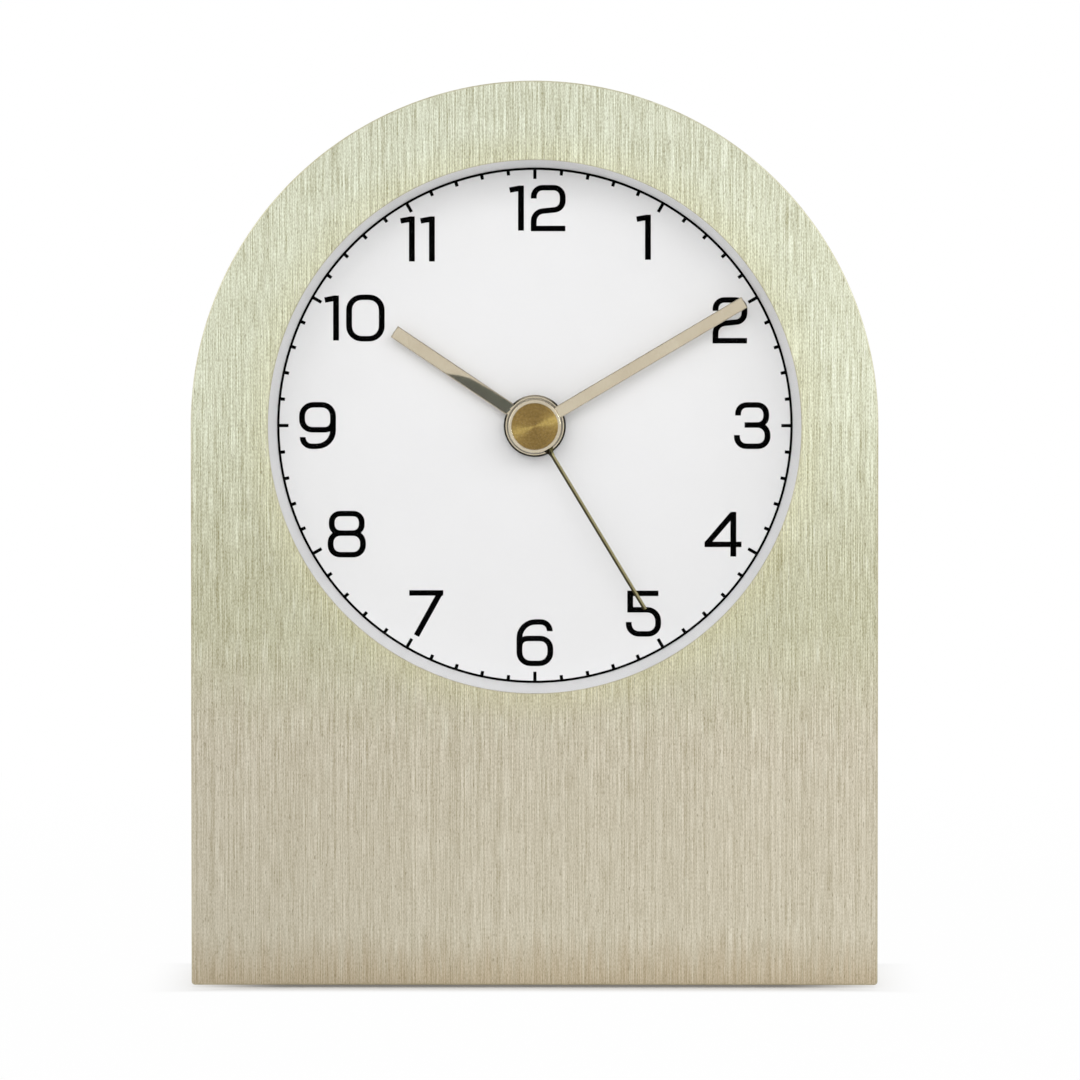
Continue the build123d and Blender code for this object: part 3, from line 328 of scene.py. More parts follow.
# Turned brass: circular tool lines round the axis, drawn wider than they are so that they show, and a faint
# mottle. The gloss fans out across the lines in two wedges.
def spunBrass(tree, look):
    coords = add(tree, "TexCoord").outputs
    lines = grain(tree, coords["UV"], (look["lineWidth"], look["lineLength"], 1))
    mottle = grain(tree, coords["Object"], look["mottle"])
    tone = add(tree, "Mix", {0: look["mottleShare"], 2: lines, 3: mottle})
    share = add(tree, "MapRange", {0: tone, (1, 2): toneSpan})
    colour = add(tree, "Mix", {0: share, 6: linear(look["dark"]), 7: linear(look["light"])}, data_type="RGBA")
    return surface(tree, look, tone, lines, {
        "Base Color": colour, "Metallic": 1.0, "Anisotropic": look["anisotropy"],
        "Tangent": add(tree, "Tangent", direction_type="UV_MAP", uv_map="UVMap")})


# Moulded or painted surface: a fine grit that breaks the gloss, drawn coarser than it is so that it shows,
# and faint clouds of tone from the flow of the plastic or paint.
def mouldedPlastic(tree, look):
    place = add(tree, "TexCoord").outputs["Object"]
    grit = grain(tree, place, look["grit"], detail=3.0)
    cloud = add(tree, "MapRange", {0: grain(tree, place, look["cloud"]), (1, 2): grainSpan})
    colour = add(tree, "Mix", {0: cloud, 6: linear(look["dark"]), 7: linear(look["light"])}, data_type="RGBA")
    return surface(tree, look, grit, grit, {
        "Base Color": colour, "IOR": look.get("ior", 1.5), "Specular IOR Level": look.get("specular", 0.5)})


# Camera at the photograph's place

viewpoint = {"distance": 1500 * mm, "right": 8 * mm, "height": 137 * mm, "aimRight": 0.96 * mm,
             "aimHeight": 78.4 * mm, "frameWidth": 188.4 * mm, "sensor": 36.0, "clipEnd": 30.0}

cameraData = bpy.data.cameras.new("camera")
cameraData.sensor_width = viewpoint["sensor"]
cameraData.lens = viewpoint["sensor"] * viewpoint["distance"] / viewpoint["frameWidth"]
cameraData.clip_end = viewpoint["clipEnd"]
camera = bpy.data.objects.new("camera", cameraData)
bpy.context.scene.collection.objects.link(camera)
camera.location = (viewpoint["right"], plateLow.y - viewpoint["distance"], viewpoint["height"])
aim = Vector((viewpoint["aimRight"], plateLow.y, viewpoint["aimHeight"]))
camera.rotation_euler = (aim - camera.location).to_track_quat("-Z", "Y").to_euler()
bpy.context.scene.camera = camera
bpy.context.scene.view_settings.view_transform = "Standard"
print("camera set, lens", round(cameraData.lens, 1))

# Finishes, one for each slot of the record and one for ink. Sizes and heights are in millimetres.

finishes = {}
# Hairs are given by width, length and share, and other grains by one size or by their sizes along three axes.
finishes["case_metal"] = material("brushedChampagneAluminium", brushedAluminium, {
    "hairs": [(0.14, 60, 0.34), (0.14, 5.5, 0.35), (0.14, 0.5, 0.31), (0.6, 45, 0.07)],
    "hairSpan": (0.36, 0.64), "hairTint": (0.92, 1.0, 1.25), "fade": (30, 60), "contrast": (0.64, 0.96),
    # painted reflection: the foot colour and the tints by height stand in for the studio reflected in the
    # sheet
    "drift": (1.5, 40, 1), "driftReach": 2.5, "foot": "BAAC92",
    "paintedReflectionTints": [(0.3, 11, "CAC2AD"), (40, 66, "C6C4A8"), (64, 108, "DADCC3"), (128, 156, "D5D7C0")],
    # painted reflection: the warmer tint round the window
    "windowReflectionColour": "D2CC9F", "windowReflectionShare": 0.3, "windowReflectionEnd": 52, "paintedSideLight": (0.955, 1.045),
    "streaks": (0.18, 7, 1), "streakSpan": (0.63, 0.69), "streakShare": (0.2, 0.5), "streakColour": "F2F3E2",
    "pits": (0.22, 1.4, 1), "pitSpan": (0.675, 0.715), "pitShare": 0.55, "pitColour": "7A6E50",
    # painted shade: the colour of the darkened rounded edges
    "edge": "BEB698", "bump": 0.2, "depth": 0.02, "glossSpan": (-0.3, 0.3), "roughness": (0.30, 0.40),
    "anisotropy": 0.6})

# Moulded polystyrene: an even light grey with a soft sheen.
finishes["ring_grey"] = material("satinGreyPolystyrene", mouldedPlastic, {
    "dark": "EEEEEF", "light": "F2F2F3", "grit": 0.25, "cloud": 14, "bump": 0.15, "depth": 0.02,
    "roughness": (0.5, 0.6)})

# Sprayed dial paint: flat white, with no gloss to speak of.
finishes["dial_white"] = material("mattWhiteDialPaint", mouldedPlastic, {
    "dark": "F0F0F1", "light": "F2F2F3", "grit": 0.2, "cloud": 18, "bump": 0.08, "depth": 0.01,
    "roughness": (0.6, 0.7)})

# Polished and anodised: a warm mirror of what stands round it.
finishes["hand_metal"] = material("polishedChampagneAluminium", plainMetal, {
    # the edge colour is painted dark reflection on the hubs' bevels
    "dark": "C6BAA2", "light": "D2C8B2", "edge": "35322A", "grain": 0.25, "cloud": 6,
    "bump": 0.0, "roughness": (0.006, 0.012)})

# Stamped brass, darkened: a dull olive gloss.
finishes["seconds_metal"] = material("darkBrass", plainMetal, {
    # the edge colour is painted shade on the root, one facet and one back edge
    "dark": "887F5C", "light": "988E6C", "edge": "1C170C", "grain": 0.15, "cloud": 4,
    "bump": 0.08, "roughness": (0.28, 0.36)})

finishes["cap_brass"] = material("turnedBrass", spunBrass, {
    "dark": "866E40", "light": "A48850", "lineWidth": 0.12, "lineLength": 5, "mottle": 0.4,
    "mottleShare": 0.6, "bump": 0.2, "roughness": (0.46, 0.54), "anisotropy": 0.9})

# Moulded with a fine texture: a broken, greyish sheen on near black.
finishes["frame_plastic"] = material("darkPolystyreneFrame", mouldedPlastic, {
    "dark": "29292B", "light": "2F2F31", "grit": 0.35, "cloud": 20, "bump": 0.3, "depth": 0.03,
    "roughness": (0.45, 0.6)})

# Moulded satin: black with soft highlights.
finishes["movement_plastic"] = material("blackAbsMovementCase", mouldedPlastic, {
    "dark": "1A1A1C", "light": "202022", "grit": 0.3, "cloud": 15, "bump": 0.25, "depth": 0.02,
    "roughness": (0.35, 0.5)})

# Moulded without dye: milky white and waxy.
finishes["wheel_plastic"] = material("naturalAcetal", mouldedPlastic, {
    "dark": "D8D5C8", "light": "E2DFD3", "grit": 0.4, "cloud": 5, "bump": 0.1, "depth": 0.01,
    "roughness": (0.3, 0.42), "ior": 1.48})

# Pressed and sintered: charcoal grey with a gritty face.
finishes["magnet"] = material("sinteredFerrite", mouldedPlastic, {
    "dark": "353434", "light": "403E3D", "grit": 0.12, "cloud": 1.5, "bump": 0.4, "depth": 0.02,
    "roughness": (0.5, 0.65), "ior": 1.8})

# Rolled and stamped: mid grey with fine rolling lines.
finishes["core_steel"] = material("stampedSiliconSteel", plainMetal, {
    "dark": "9E9EA1", "light": "ACACAF", "grain": (0.12, 0.4, 3), "cloud": 4, "bump": 0.3,
    "roughness": (0.32, 0.48)})

# Moulded without dye: ivory and waxy.
finishes["bobbin_plastic"] = material("naturalNylon", mouldedPlastic, {
    "dark": "D0CAB4", "light": "DAD4C0", "grit": 0.3, "cloud": 5, "bump": 0.15, "depth": 0.015,
    "roughness": (0.4, 0.5), "ior": 1.53})

# Poured and set: black and glossy, with slight waves.
finishes["chip_resin"] = material("blackEpoxyDrop", mouldedPlastic, {
    "dark": "121212", "light": "181817", "grit": 0.6, "cloud": 2, "bump": 0.2, "depth": 0.03,
    "roughness": (0.2, 0.35), "ior": 1.55})

# Deep drawn and tinned: bright, with lines along the can.
finishes["crystal_can"] = material("drawnTinnedCan", plainMetal, {
    "dark": "C2C2C4", "light": "CECED0", "grain": (1.5, 0.15, 0.15), "cloud": 2, "bump": 0.2,
    "roughness": (0.2, 0.32)})

# Rolled strip, plated: a pale warm metal with faint rolling lines.
finishes["contact_steel"] = material("nickelPlatedSpringSteel", plainMetal, {
    "dark": "BAB6AC", "light": "C6C3BA", "grain": (0.15, 1.2, 2.5), "cloud": 4, "bump": 0.2,
    "roughness": (0.24, 0.36)})

# Barrel plated: bluish grey, lightly clouded.
finishes["screw_steel"] = material("zincPlatedSteel", plainMetal, {
    "dark": "A9AAAE", "light": "B9BABD", "grain": 0.2, "cloud": 1.2, "bump": 0.25,
    "roughness": (0.28, 0.4)})

# Moulded in a spark-eroded tool: an even pebbled grain that dulls the black.
finishes["back_plastic"] = material("sparkTexturedBlackAbs", mouldedPlastic, {
    "dark": "1B1B1C", "light": "212122", "grit": 0.55, "cloud": 26, "bump": 0.55, "depth": 0.06,
    "roughness": (0.42, 0.6)})

# Moulded smooth: black, with a highlight on each ridge.
finishes["knob_plastic"] = material("blackAbsKnob", mouldedPlastic, {
    "dark": "161617", "light": "1B1B1C", "grit": 0.3, "cloud": 6, "bump": 0.2, "depth": 0.02,
    "roughness": (0.34, 0.46)})

# Foamed sheet, cut: dull black and pitted.
finishes["pad_foam"] = material("foamRubber", mouldedPlastic, {
    "dark": "1C1C1C", "light": "262626", "grit": 0.35, "cloud": 2, "bump": 0.8, "depth": 0.12,
    "roughness": (0.75, 0.9)})

# Pad printed: a dense, flat black.
finishes["ink"] = material("blackPrintingInk", mouldedPlastic, {
    "dark": "020202", "light": "050505", "grit": 0.15, "cloud": 4, "bump": 0.05, "depth": 0.005,
    "roughness": (0.5, 0.6), "specular": 0.0})


# Coated flat glass: clear, with only a weak reflection, and it lets the lamps through to the dial.
def clearGlass(tree, look):
    place = add(tree, "TexCoord").outputs["Object"]
    smear = grain(tree, place, look["smear"])
    body = surface(tree, look, smear, None, {
        "Base Color": linear(look["colour"]), "IOR": look["ior"], "Transmission Weight": 1.0})
    through = add(tree, "BsdfTransparent", {"Color": linear(look["colour"])})
    kinds = add(tree, "LightPath").outputs
    mirrored = add(tree, "Math", {0: kinds["Is Glossy Ray"], 1: kinds["Is Transmission Ray"]},
                   operation="SUBTRACT", use_clamp=True)
    passing = add(tree, "Math", {0: kinds["Is Shadow Ray"], 1: kinds["Is Diffuse Ray"]}, operation="MAXIMUM")
    passing = add(tree, "Math", {0: passing, 1: mirrored}, operation="MAXIMUM")
    return add(tree, "MixShader", {0: passing, 1: body, 2: through})


finishes["window_glass"] = material("coatedMineralGlass", clearGlass, {
    "colour": "FEFEFE", "ior": 1.06, "smear": 9, "roughness": (0.0, 0.02)})


# Enamelled copper wire wound in layers: glossy orange turns side by side along the coil, drawn coarser than
# the wire. The darker colour between the turns is painted shade.
def woundCopper(tree, look):
    low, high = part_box(look["node"])
    axis = int(np.argmax(np.array(high - low)))
    place = add(tree, "TexCoord").outputs["Object"]
    along = add(tree, "SeparateXYZ", {0: place}).outputs[axis]
    phase = add(tree, "Math", {0: along, 1: 2 * math.pi / (look["pitch"] * mm)}, operation="MULTIPLY")
    turns = add(tree, "Math", {0: phase}, operation="SINE")
    share = add(tree, "MapRange", {0: turns, (1, 2): (-1, 1)})
    # painted shade in the grooves between the turns
    shades = {6: linear(look["paintedGrooveShade"]), 7: linear(look["wire"])}
    colour = add(tree, "Mix", {0: share, **shades}, data_type="RGBA")
    uneven = grain(tree, place, look["uneven"])
    return surface(tree, look, uneven, turns, {
        "Base Color": colour, "Metallic": 1.0, "Coat Weight": look["enamel"]})


finishes["winding_copper"] = material("enamelledCopperWire", woundCopper, {
    "node": "coil_winding", "pitch": 0.3, "paintedGrooveShade": "8A4A26", "wire": "CE8150", "uneven": 0.6, "enamel": 0.3,
    "bump": 0.6, "depth": 0.075, "roughness": (0.28, 0.4)})


# Glass-resin board under green solder mask: the mask pales over straight copper tracks.
def solderMask(tree, look):
    place = add(tree, "TexCoord").outputs["Object"]
    scaled = add(tree, "VectorMath", {0: place, 1: (1 / (look["track"] * mm),) * 3}, operation="MULTIPLY")
    cells = add(tree, "TexBrick", {
        "Vector": scaled, "Color1": linear(look["mask"]), "Color2": linear(look["overCopper"]),
        "Mortar": linear(look["edge"]), "Scale": 1.0, "Mortar Size": look["edgeShare"]})
    weave = grain(tree, place, look["weave"])
    return surface(tree, look, weave, weave, {"Base Color": cells})


finishes["board_resin"] = material("greenSolderMask", solderMask, {
    "track": 1.6, "mask": "1F5A34", "overCopper": "2C6E42", "edge": "174527", "edgeShare": 0.06, "weave": 0.4,
    "bump": 0.2, "depth": 0.02, "roughness": (0.25, 0.4)})


# Battery: bare plated steel at both ends, and between them a plain printed sleeve with one pale band.
def batterySleeve(tree, look):
    low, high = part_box("battery")
    middle = (low.x + high.x) / 2
    plus = 1.0 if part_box("positive_contact")[0].x > middle else -1.0
    half, bandFrom = look["sleeve"] / 2, look["bandFrom"]
    place = add(tree, "TexCoord").outputs["Object"]
    along = add(tree, "SeparateXYZ", {0: place}).outputs["X"]
    along = add(tree, "Math", {0: along, 1: middle}, operation="SUBTRACT")
    outward = add(tree, "Math", {0: along}, operation="ABSOLUTE")
    towardsPlus = add(tree, "Math", {0: along, 1: plus}, operation="MULTIPLY")
    bare = add(tree, "MapRange", {0: outward, 1: half * mm, 2: (half + look["sleeveEdge"]) * mm})
    band = add(tree, "MapRange", {0: towardsPlus, 1: bandFrom * mm, 2: (bandFrom + look["bandEdge"]) * mm})
    scuff = grain(tree, place, look["scuffs"], detail=4.0)
    worn = add(tree, "MapRange", {0: scuff, (1, 2): look["scuffSpan"], 4: look["scuffShare"]})
    colour = linear(look["sleeveColour"])
    for share, key in ((band, "bandColour"), (worn, "scuffColour"), (bare, "steel")):
        colour = add(tree, "Mix", {0: share, 6: colour, 7: linear(look[key])}, data_type="RGBA")
    return surface(tree, look, scuff, None, {"Base Color": colour, "Metallic": bare})


finishes["battery_sleeve"] = material("printedSleeveOverSteel", batterySleeve, {
    "sleeve": 47.6, "sleeveEdge": 0.2, "sleeveColour": "3A3D42", "bandFrom": 11, "bandEdge": 0.15,
    "bandColour": "C9C4B6", "steel": "C4C3BF", "scuffs": (1.2, 0.5, 0.5), "scuffSpan": (0.55, 0.75),
    "scuffShare": 0.25, "scuffColour": "6A6A6C", "roughness": (0.26, 0.4)})

for part in frame["record"]["subparts"]:
    mesh = frame["nodes"][part["node"]].data
    mesh.materials.clear()
    mesh.materials.append(finishes[part["material_slot"]])
print("finishes made:", len(finishes))

# Case: plate and band carried along the arch

caseShape = {"edgeRound": 0.2 * mm, "roundSteps": 5, "cornerRound": 0.6 * mm, "leastCorner": 0.1 * mm,
             "support": 0.12 * mm, "archSteps": 180, "sideSteps": 40, "cornerSteps": 5, "baseSteps": 48}


# The arch, inset by a distance: half a circle over straight sides, and a base with small round corners.
# It runs from the right shoulder over the top and down round the base; every inset has as many points.
def archOutline(inset):
    reach = halfWidth - inset
    foot = baseHeight + inset
    corner = max(caseShape["cornerRound"] - inset, caseShape["leastCorner"])
    over = np.linspace(0, np.pi, caseShape["archSteps"])
    down = np.linspace(archHeight, foot + corner, caseShape["sideSteps"])[1:]
    turn = np.linspace(0, np.pi / 2, caseShape["cornerSteps"])[1:]
    across = np.linspace(-reach + corner, reach - corner, caseShape["baseSteps"])[1:]
    parts = [
        np.stack([reach * np.cos(over), archHeight + reach * np.sin(over)], -1),
        np.stack([0 * down - reach, down], -1),
        np.stack([-reach + corner - corner * np.cos(turn), foot + corner - corner * np.sin(turn)], -1),
        np.stack([across, 0 * across + foot], -1),
        np.stack([reach - corner + corner * np.sin(turn), foot + corner - corner * np.cos(turn)], -1),
        np.stack([0 * down + reach, down[::-1]], -1),
    ]
    return np.vstack(parts)


# painted shade on the window's edge and on the rim
plateShape = {"windowRound": 0.1 * mm, "between": (0.3, 0.7), "paintedWindowShade": 0.5, "paintedRimShade": 0.45}


# Front plate: each row blends from the window circle to the arch, with round edges at both.
# A row holds the blend, the inset from the edge, the depth, the painted shade mark and whether it is on the
# rim, where the brushing runs along the edge and not straight up.
def plateRows():
    edge, window, support = caseShape["edgeRound"], plateShape["windowRound"], caseShape["support"]
    paintedWindowShade, paintedRimShade = plateShape["paintedWindowShade"], plateShape["paintedRimShade"]
    front, back = plateLow.y, plateHigh.y
    bend = np.linspace(0, np.pi / 2, caseShape["roundSteps"])
    inset, rise = 1 - np.cos(bend), 1 - np.sin(bend)  # from the wall to the face, for a round of 1
    rows = [(0, 0, back, paintedWindowShade, 0)]
    rows += [(0, window * i, front + window * r, paintedWindowShade, 0) for i, r in zip(inset, rise)]
    rows += [(0, window + support, front, 0, 0)]
    rows += [(blend, edge, front, 0, 0) for blend in plateShape["between"]]
    rows += [(1, edge + support, front, 0, 0), (1, edge, front, paintedRimShade, 0)]
    rows += [(1, edge * i, front + edge * r, paintedRimShade, 1) for i, r in zip(inset[::-1], rise[::-1])]
    rows += [(1, edge * i, back - edge * r, 0, 1) for i, r in zip(inset, rise)]
    rows += [(1, edge, back, 0, 0), (1, edge + support, back, 0, 0)]
    return np.array(rows)


outer = archOutline(0.0)
alongArch = lengthAlong(outer)
towards = outer - np.array(dialCentre)
towards /= np.linalg.norm(towards, axis=1)[:, None]
rows = plateRows()
blends, insets, depths, marks, onRim = rows.T[:, :, None]
outlines = np.stack([archOutline(inset) for inset in rows[:, 1]])
windows = np.array(dialCentre) + (windowRadius + insets)[:, :, None] * towards
face = windows + blends[:, :, None] * (outlines - windows)
rimUv = np.stack(np.broadcast_arrays(depths, alongArch[None, :]), -1)
plateUv = np.where(onRim[:, :, None] > 0, rimUv, np.concatenate([face, face[:, :1]], 1))
plateUv = np.concatenate([plateUv, plateUv[:1]], 0)
# painted shade along the rounded edges
plateMarks = np.repeat(marks, len(outer))
plateMesh = shell("frontPlate", atDepth(face, depths), plateUv, plateMarks, wrapRows=True)
piece("frontPlate", plateMesh, "case", "case_metal", "front_plate")

# Band: one closed wall section carried along the arch; u runs across the strip and v along it.
bandShape = {"wall": 1.2 * mm}
edge, wall = caseShape["edgeRound"], bandShape["wall"]
section = roundedPath([(0, bandLow.y, edge), (0, bandHigh.y, edge), (wall, bandHigh.y, edge),
                       (wall, bandLow.y, edge / 2)], closed=True, steps=caseShape["roundSteps"])
around = np.stack([archOutline(inset) for inset in section[:, 0]])
bandUv = np.stack(np.broadcast_arrays(lengthAlong(section)[:, None], alongArch[None, :]), -1)
bandMesh = shell("caseBand", atDepth(around, section[:, 1:2]), bandUv, wrapRows=True)
piece("caseBand", bandMesh, "case", "case_metal", "case_band")
print("case pieces made")

# Screws of the back: a pan head whose top is sunk in a cross. The sinking is the larger of two arms, each
# the product of a smooth step across its width and one along its length.
screwShape = {"headRadius": 2.4 * mm, "headHeight": 1.4 * mm, "round": 0.35 * mm, "shank": 1.3 * mm,
              "point": 0.9 * mm, "armWidth": 0.85 * mm, "armLength": 2.9 * mm, "flank": 0.16 * mm,
              "sink": 0.7 * mm, "turns": (12, 57, 33, 78), "around": 144, "rings": 48}


def screwMesh(centre, back, front, turn):
    look = screwShape
    head, shank, under = look["headRadius"], look["shank"], back - look["headHeight"]
    face = np.linspace(0, head - look["round"], look["rings"])
    rim = roundedPath([(face[-1], back, 0), (head, back, look["round"]), (head, under, 0), (shank, under, 0),
                       (shank, front + look["point"], 0), (0, front, 0)])[1:]
    radius = np.concatenate([face, rim[:, 0]])[:, None]
    depth = np.concatenate([0 * face + back, rim[:, 1]])[:, None]
    angle = np.linspace(0, 2 * np.pi, look["around"], endpoint=False)[None, :]
    across, up = radius * np.cos(angle), radius * np.sin(angle)

    def inside(distance, whole):
        share = np.clip((whole / 2 - np.abs(distance)) / look["flank"], 0, 1)
        return share * share * (3 - 2 * share)

    upright = inside(across, look["armWidth"]) * inside(up, look["armLength"])
    level = inside(up, look["armWidth"]) * inside(across, look["armLength"])
    sunk = np.maximum(upright, level) * look["sink"] * (np.arange(len(radius)) < len(face))[:, None]
    spin = math.radians(turn)
    place = np.stack([centre[0] + across * math.cos(spin) - up * math.sin(spin),
                      centre[1] + across * math.sin(spin) + up * math.cos(spin)], -1)
    return shell("screw", atDepth(place, depth - sunk), sharpAngle=40.0)


screwNode = frame["nodes"]["back_screws"].data
screwPoints = np.empty(len(screwNode.vertices) * 3)
screwNode.vertices.foreach_get("co", screwPoints)
screwPoints = screwPoints.reshape(-1, 3)
screwFront, screwBack = screwPoints[:, 1].min(), screwPoints[:, 1].max()
right, high = screwPoints[:, 0] > 0, screwPoints[:, 2] > archHeight
screws = []
for turn, corner in zip(screwShape["turns"], (right & high, ~right & high, right & ~high, ~right & ~high)):
    middle = (screwPoints[corner].min(0) + screwPoints[corner].max(0)) / 2
    screws.append(screwMesh((middle[0], middle[2]), screwBack, screwFront, turn))
piece("backScrews", joined("backScrews", screws), "case", "screw_steel", "back_screws")
print("screws made")

# Reflector ring between the glass and the dial

ringLow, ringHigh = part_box("dial_ring")
ringShape = {"footRadius": 45.35 * mm, "round": 0.15 * mm, "steps": 256}
ringProfile = roundedPath([
    (ringShape["footRadius"], ringHigh.y, 0), (windowRadius, ringLow.y, ringShape["round"]),
    (ringHigh.x, ringLow.y, 0), (ringHigh.x, ringHigh.y, 0)], closed=True)
ringMesh = turned("dialRing", ringProfile, closed=True, steps=ringShape["steps"])
piece("dialRing", ringMesh, "case", "ring_grey", "dial_ring")

# Printing on the dial: minute track and numerals, as a thin raised layer of ink

inkHeight = 0.03 * mm
trackShape = {"lineRadius": 45.1 * mm, "lineWidth": 0.42 * mm, "minuteTick": 1.15 * mm, "hourTick": 2.0 * mm,
              "tickWidth": 0.56 * mm, "shoulder": 0.01 * mm, "between": 4}


# One flat ring whose inner edge steps in at each tick. The sides of a tick are parallel, so the angle
# between them grows inwards.
def minuteTrackMesh():
    minute = np.arange(60)
    apart = 2 * np.pi / len(minute)
    middle = minute * apart
    outerRadius = trackShape["lineRadius"] + trackShape["lineWidth"] / 2
    innerRadius = outerRadius - trackShape["lineWidth"]
    tickEnd = outerRadius - np.where(minute % 5 == 0, trackShape["hourTick"], trackShape["minuteTick"])
    half = trackShape["tickWidth"] / 2
    foot = half + trackShape["shoulder"]
    gap = np.linspace(0, 1, trackShape["between"] + 2)[1:-1] * (apart - 2 * foot / innerRadius)
    sides = np.array([-foot, -half, half, foot])
    offsets = np.concatenate([sides / innerRadius, foot / innerRadius + gap])
    outerAngle = middle[:, None] + offsets
    line = np.full(len(minute), innerRadius)
    inner = np.stack([line, tickEnd, tickEnd, line] + [line] * len(gap), 1)
    innerAngle = outerAngle.copy()
    innerAngle[:, 1:3] = middle[:, None] + sides[1:3] / tickEnd[:, None]
    outer = outerRadius + 0 * inner
    back, front = dialFront, dialFront - inkHeight
    edges = [(outer, outerAngle, front), (inner, innerAngle, front),
             (inner, innerAngle, back), (outer, outerAngle, back)]
    grid = []
    for radius, angle, depth in edges:
        across, up = radius * np.sin(angle), radius * np.cos(angle)
        ring = np.stack([dialCentre[0] + across, dialCentre[1] + up], -1)
        grid.append(atDepth(ring, depth).reshape(-1, 3))
    return shell("minuteTrack", np.stack(grid), wrapRows=True)


piece("minuteTrack", minuteTrackMesh(), "case", "dial_white", finish="ink")


# The four corners of a bowl about its middle, each with the same radius.
def bowl(x, y, halfAcross, halfUp, radius):
    return [(x - halfAcross, y - halfUp, radius), (x + halfAcross, y - halfUp, radius),
            (x + halfAcross, y + halfUp, radius), (x - halfAcross, y + halfUp, radius)]


# Strokes of each digit about the middle of its box, in millimetres: a corner of the centre line is given as
# (x, y, radius).
numeralShape = {"stroke": 0.96, "stemGain": 1.07, "radius": 38.2}
sixHook = [(2.62, 2.02, 0), (2.62, 3.65, 1.58), (-2.72, 3.65, 2.8), (-2.72, -1.5, 0)]
sixBowl = [(-2.72, -3.65, 1.93), (2.72, -3.65, 1.93), (2.72, 0.74, 1.76), (-2.72, 0.74, 1.4)]
sixStrokes = [("line", sixHook), ("loop", sixBowl)]
digitStrokes = {
    "0": [("loop", bowl(0, 0, 2.87, 3.64, 2.2))],
    "1": [("line", [(0.76, 3.95, 0), (0.76, -3.95, 0)]), ("line", [(-1.23, 3.16, 0), (0.76, 3.52, 0)])],
    "2": [("line", [(-2.55, 1.67, 0), (-2.55, 3.58, 1.53), (2.53, 3.58, 1.58), (2.53, -0.18, 1.58),
                    (-2.56, -0.67, 1.75), (-2.56, -3.58, 0), (3.0, -3.58, 0)])],
    "3": [("line", [(-2.49, 1.78, 0), (-2.49, 3.63, 1.5), (2.46, 3.63, 1.58), (2.46, 0.11, 1.5),
                    (-1.35, 0.11, 0)]),
          ("line", [(0.5, 0.11, 0), (2.69, 0.11, 1.72), (2.69, -3.63, 1.67), (-2.69, -3.63, 1.63),
                    (-2.69, -1.66, 0)])],
    "4": [("line", [(1.81, 3.93, 0), (1.81, -3.93, 0)]), ("line", [(-3.25, -1.79, 0), (3.25, -1.79, 0)]),
          ("line", [(-2.83, -1.69, 0), (1.62, 3.5, 0)])],
    "5": [("line", [(2.63, 3.57, 0), (-2.33, 3.57, 0), (-2.33, 0.68, 0), (2.59, 0.68, 1.93),
                    (2.59, -3.57, 1.76), (-2.59, -3.57, 1.76), (-2.59, -1.48, 0)])],
    "6": sixStrokes,
    "7": [("line", [(-2.99, 3.64, 0), (2.99, 3.64, 0)]), ("line", [(2.44, 3.67, 0), (-1.74, -3.88, 0)])],
    "8": [("loop", bowl(0, 1.9, 2.64, 1.72, 1.49)), ("loop", bowl(0, -1.72, 2.85, 1.9, 1.67))],
    "9": [(kind, [(-x, -y, radius) for x, y, radius in corners]) for kind, corners in sixStrokes],
}
numeralPairs = {10: [("1", -4.01), ("0", 1.91)], 11: [("1", -1.76), ("1", 1.76)],
                12: [("1", -3.65), ("2", 1.91)]}
numeralNudges = {2: (1.2, -0.6), 10: (1.4, -0.2), 11: (-1.5, -0.3), 12: (0.45, 0.0)}


# A stroke of ink: the centre line is widened both ways along its mitred normals and given its thickness.
def strokeMesh(kind, corners, shift):
    closed = kind == "loop"
    points = roundedPath(corners, closed=closed)
    ahead = np.diff(np.vstack([points, points[:1]]) if closed else points, axis=0)
    ahead /= np.linalg.norm(ahead, axis=1)[:, None]
    normal = np.stack([-ahead[:, 1], ahead[:, 0]], -1)
    before = np.roll(normal, 1, 0) if closed else np.vstack([normal[:1], normal])
    after = normal if closed else np.vstack([normal, normal[-1:]])
    mitre = (before + after) / (1 + (before * after).sum(1))[:, None] * numeralShape["stroke"] / 2
    mitre = mitre * (numeralShape["stemGain"], 1.0)  # upright stems are a little heavier than the bars
    left, right = points + mitre, points - mitre
    if not closed:  # both ends fold to their middle, which closes them
        left, right = (np.vstack([points[:1], side, points[-1:]]) for side in (left, right))
    left, right = (np.array(dialCentre) + (side + np.array(shift)) * mm for side in (left, right))
    front = dialFront - inkHeight
    edges = [(left, front), (right, front), (right, dialFront), (left, dialFront)]
    grid = np.stack([atDepth(side, depth) for side, depth in edges], 1)
    if not closed:
        grid[0], grid[-1] = grid[0].mean(0), grid[-1].mean(0)
    return shell("stroke", grid, wrapRows=closed)


layers = {}  # strokes that don't cross each other share a layer
for hour in range(1, 13):
    across, up = numeralNudges.get(hour, (0.0, 0.0))
    spoke = math.radians(30 * hour)
    across += numeralShape["radius"] * math.sin(spoke)
    up += numeralShape["radius"] * math.cos(spoke)
    for digit, shift in numeralPairs.get(hour, [(str(hour), 0.0)]):
        for layer, (kind, corners) in enumerate(digitStrokes[digit]):
            layers.setdefault(layer, []).append(strokeMesh(kind, corners, (across + shift, up)))
numerals = united("numerals", [joined("strokes", meshes) for meshes in layers.values()])
piece("numerals", numerals, "case", "dial_white", finish="ink")
print("dial printed:", len(numerals.polygons), "faces in the numerals")

# Hands: angles in degrees clockwise from twelve, lengths in millimetres

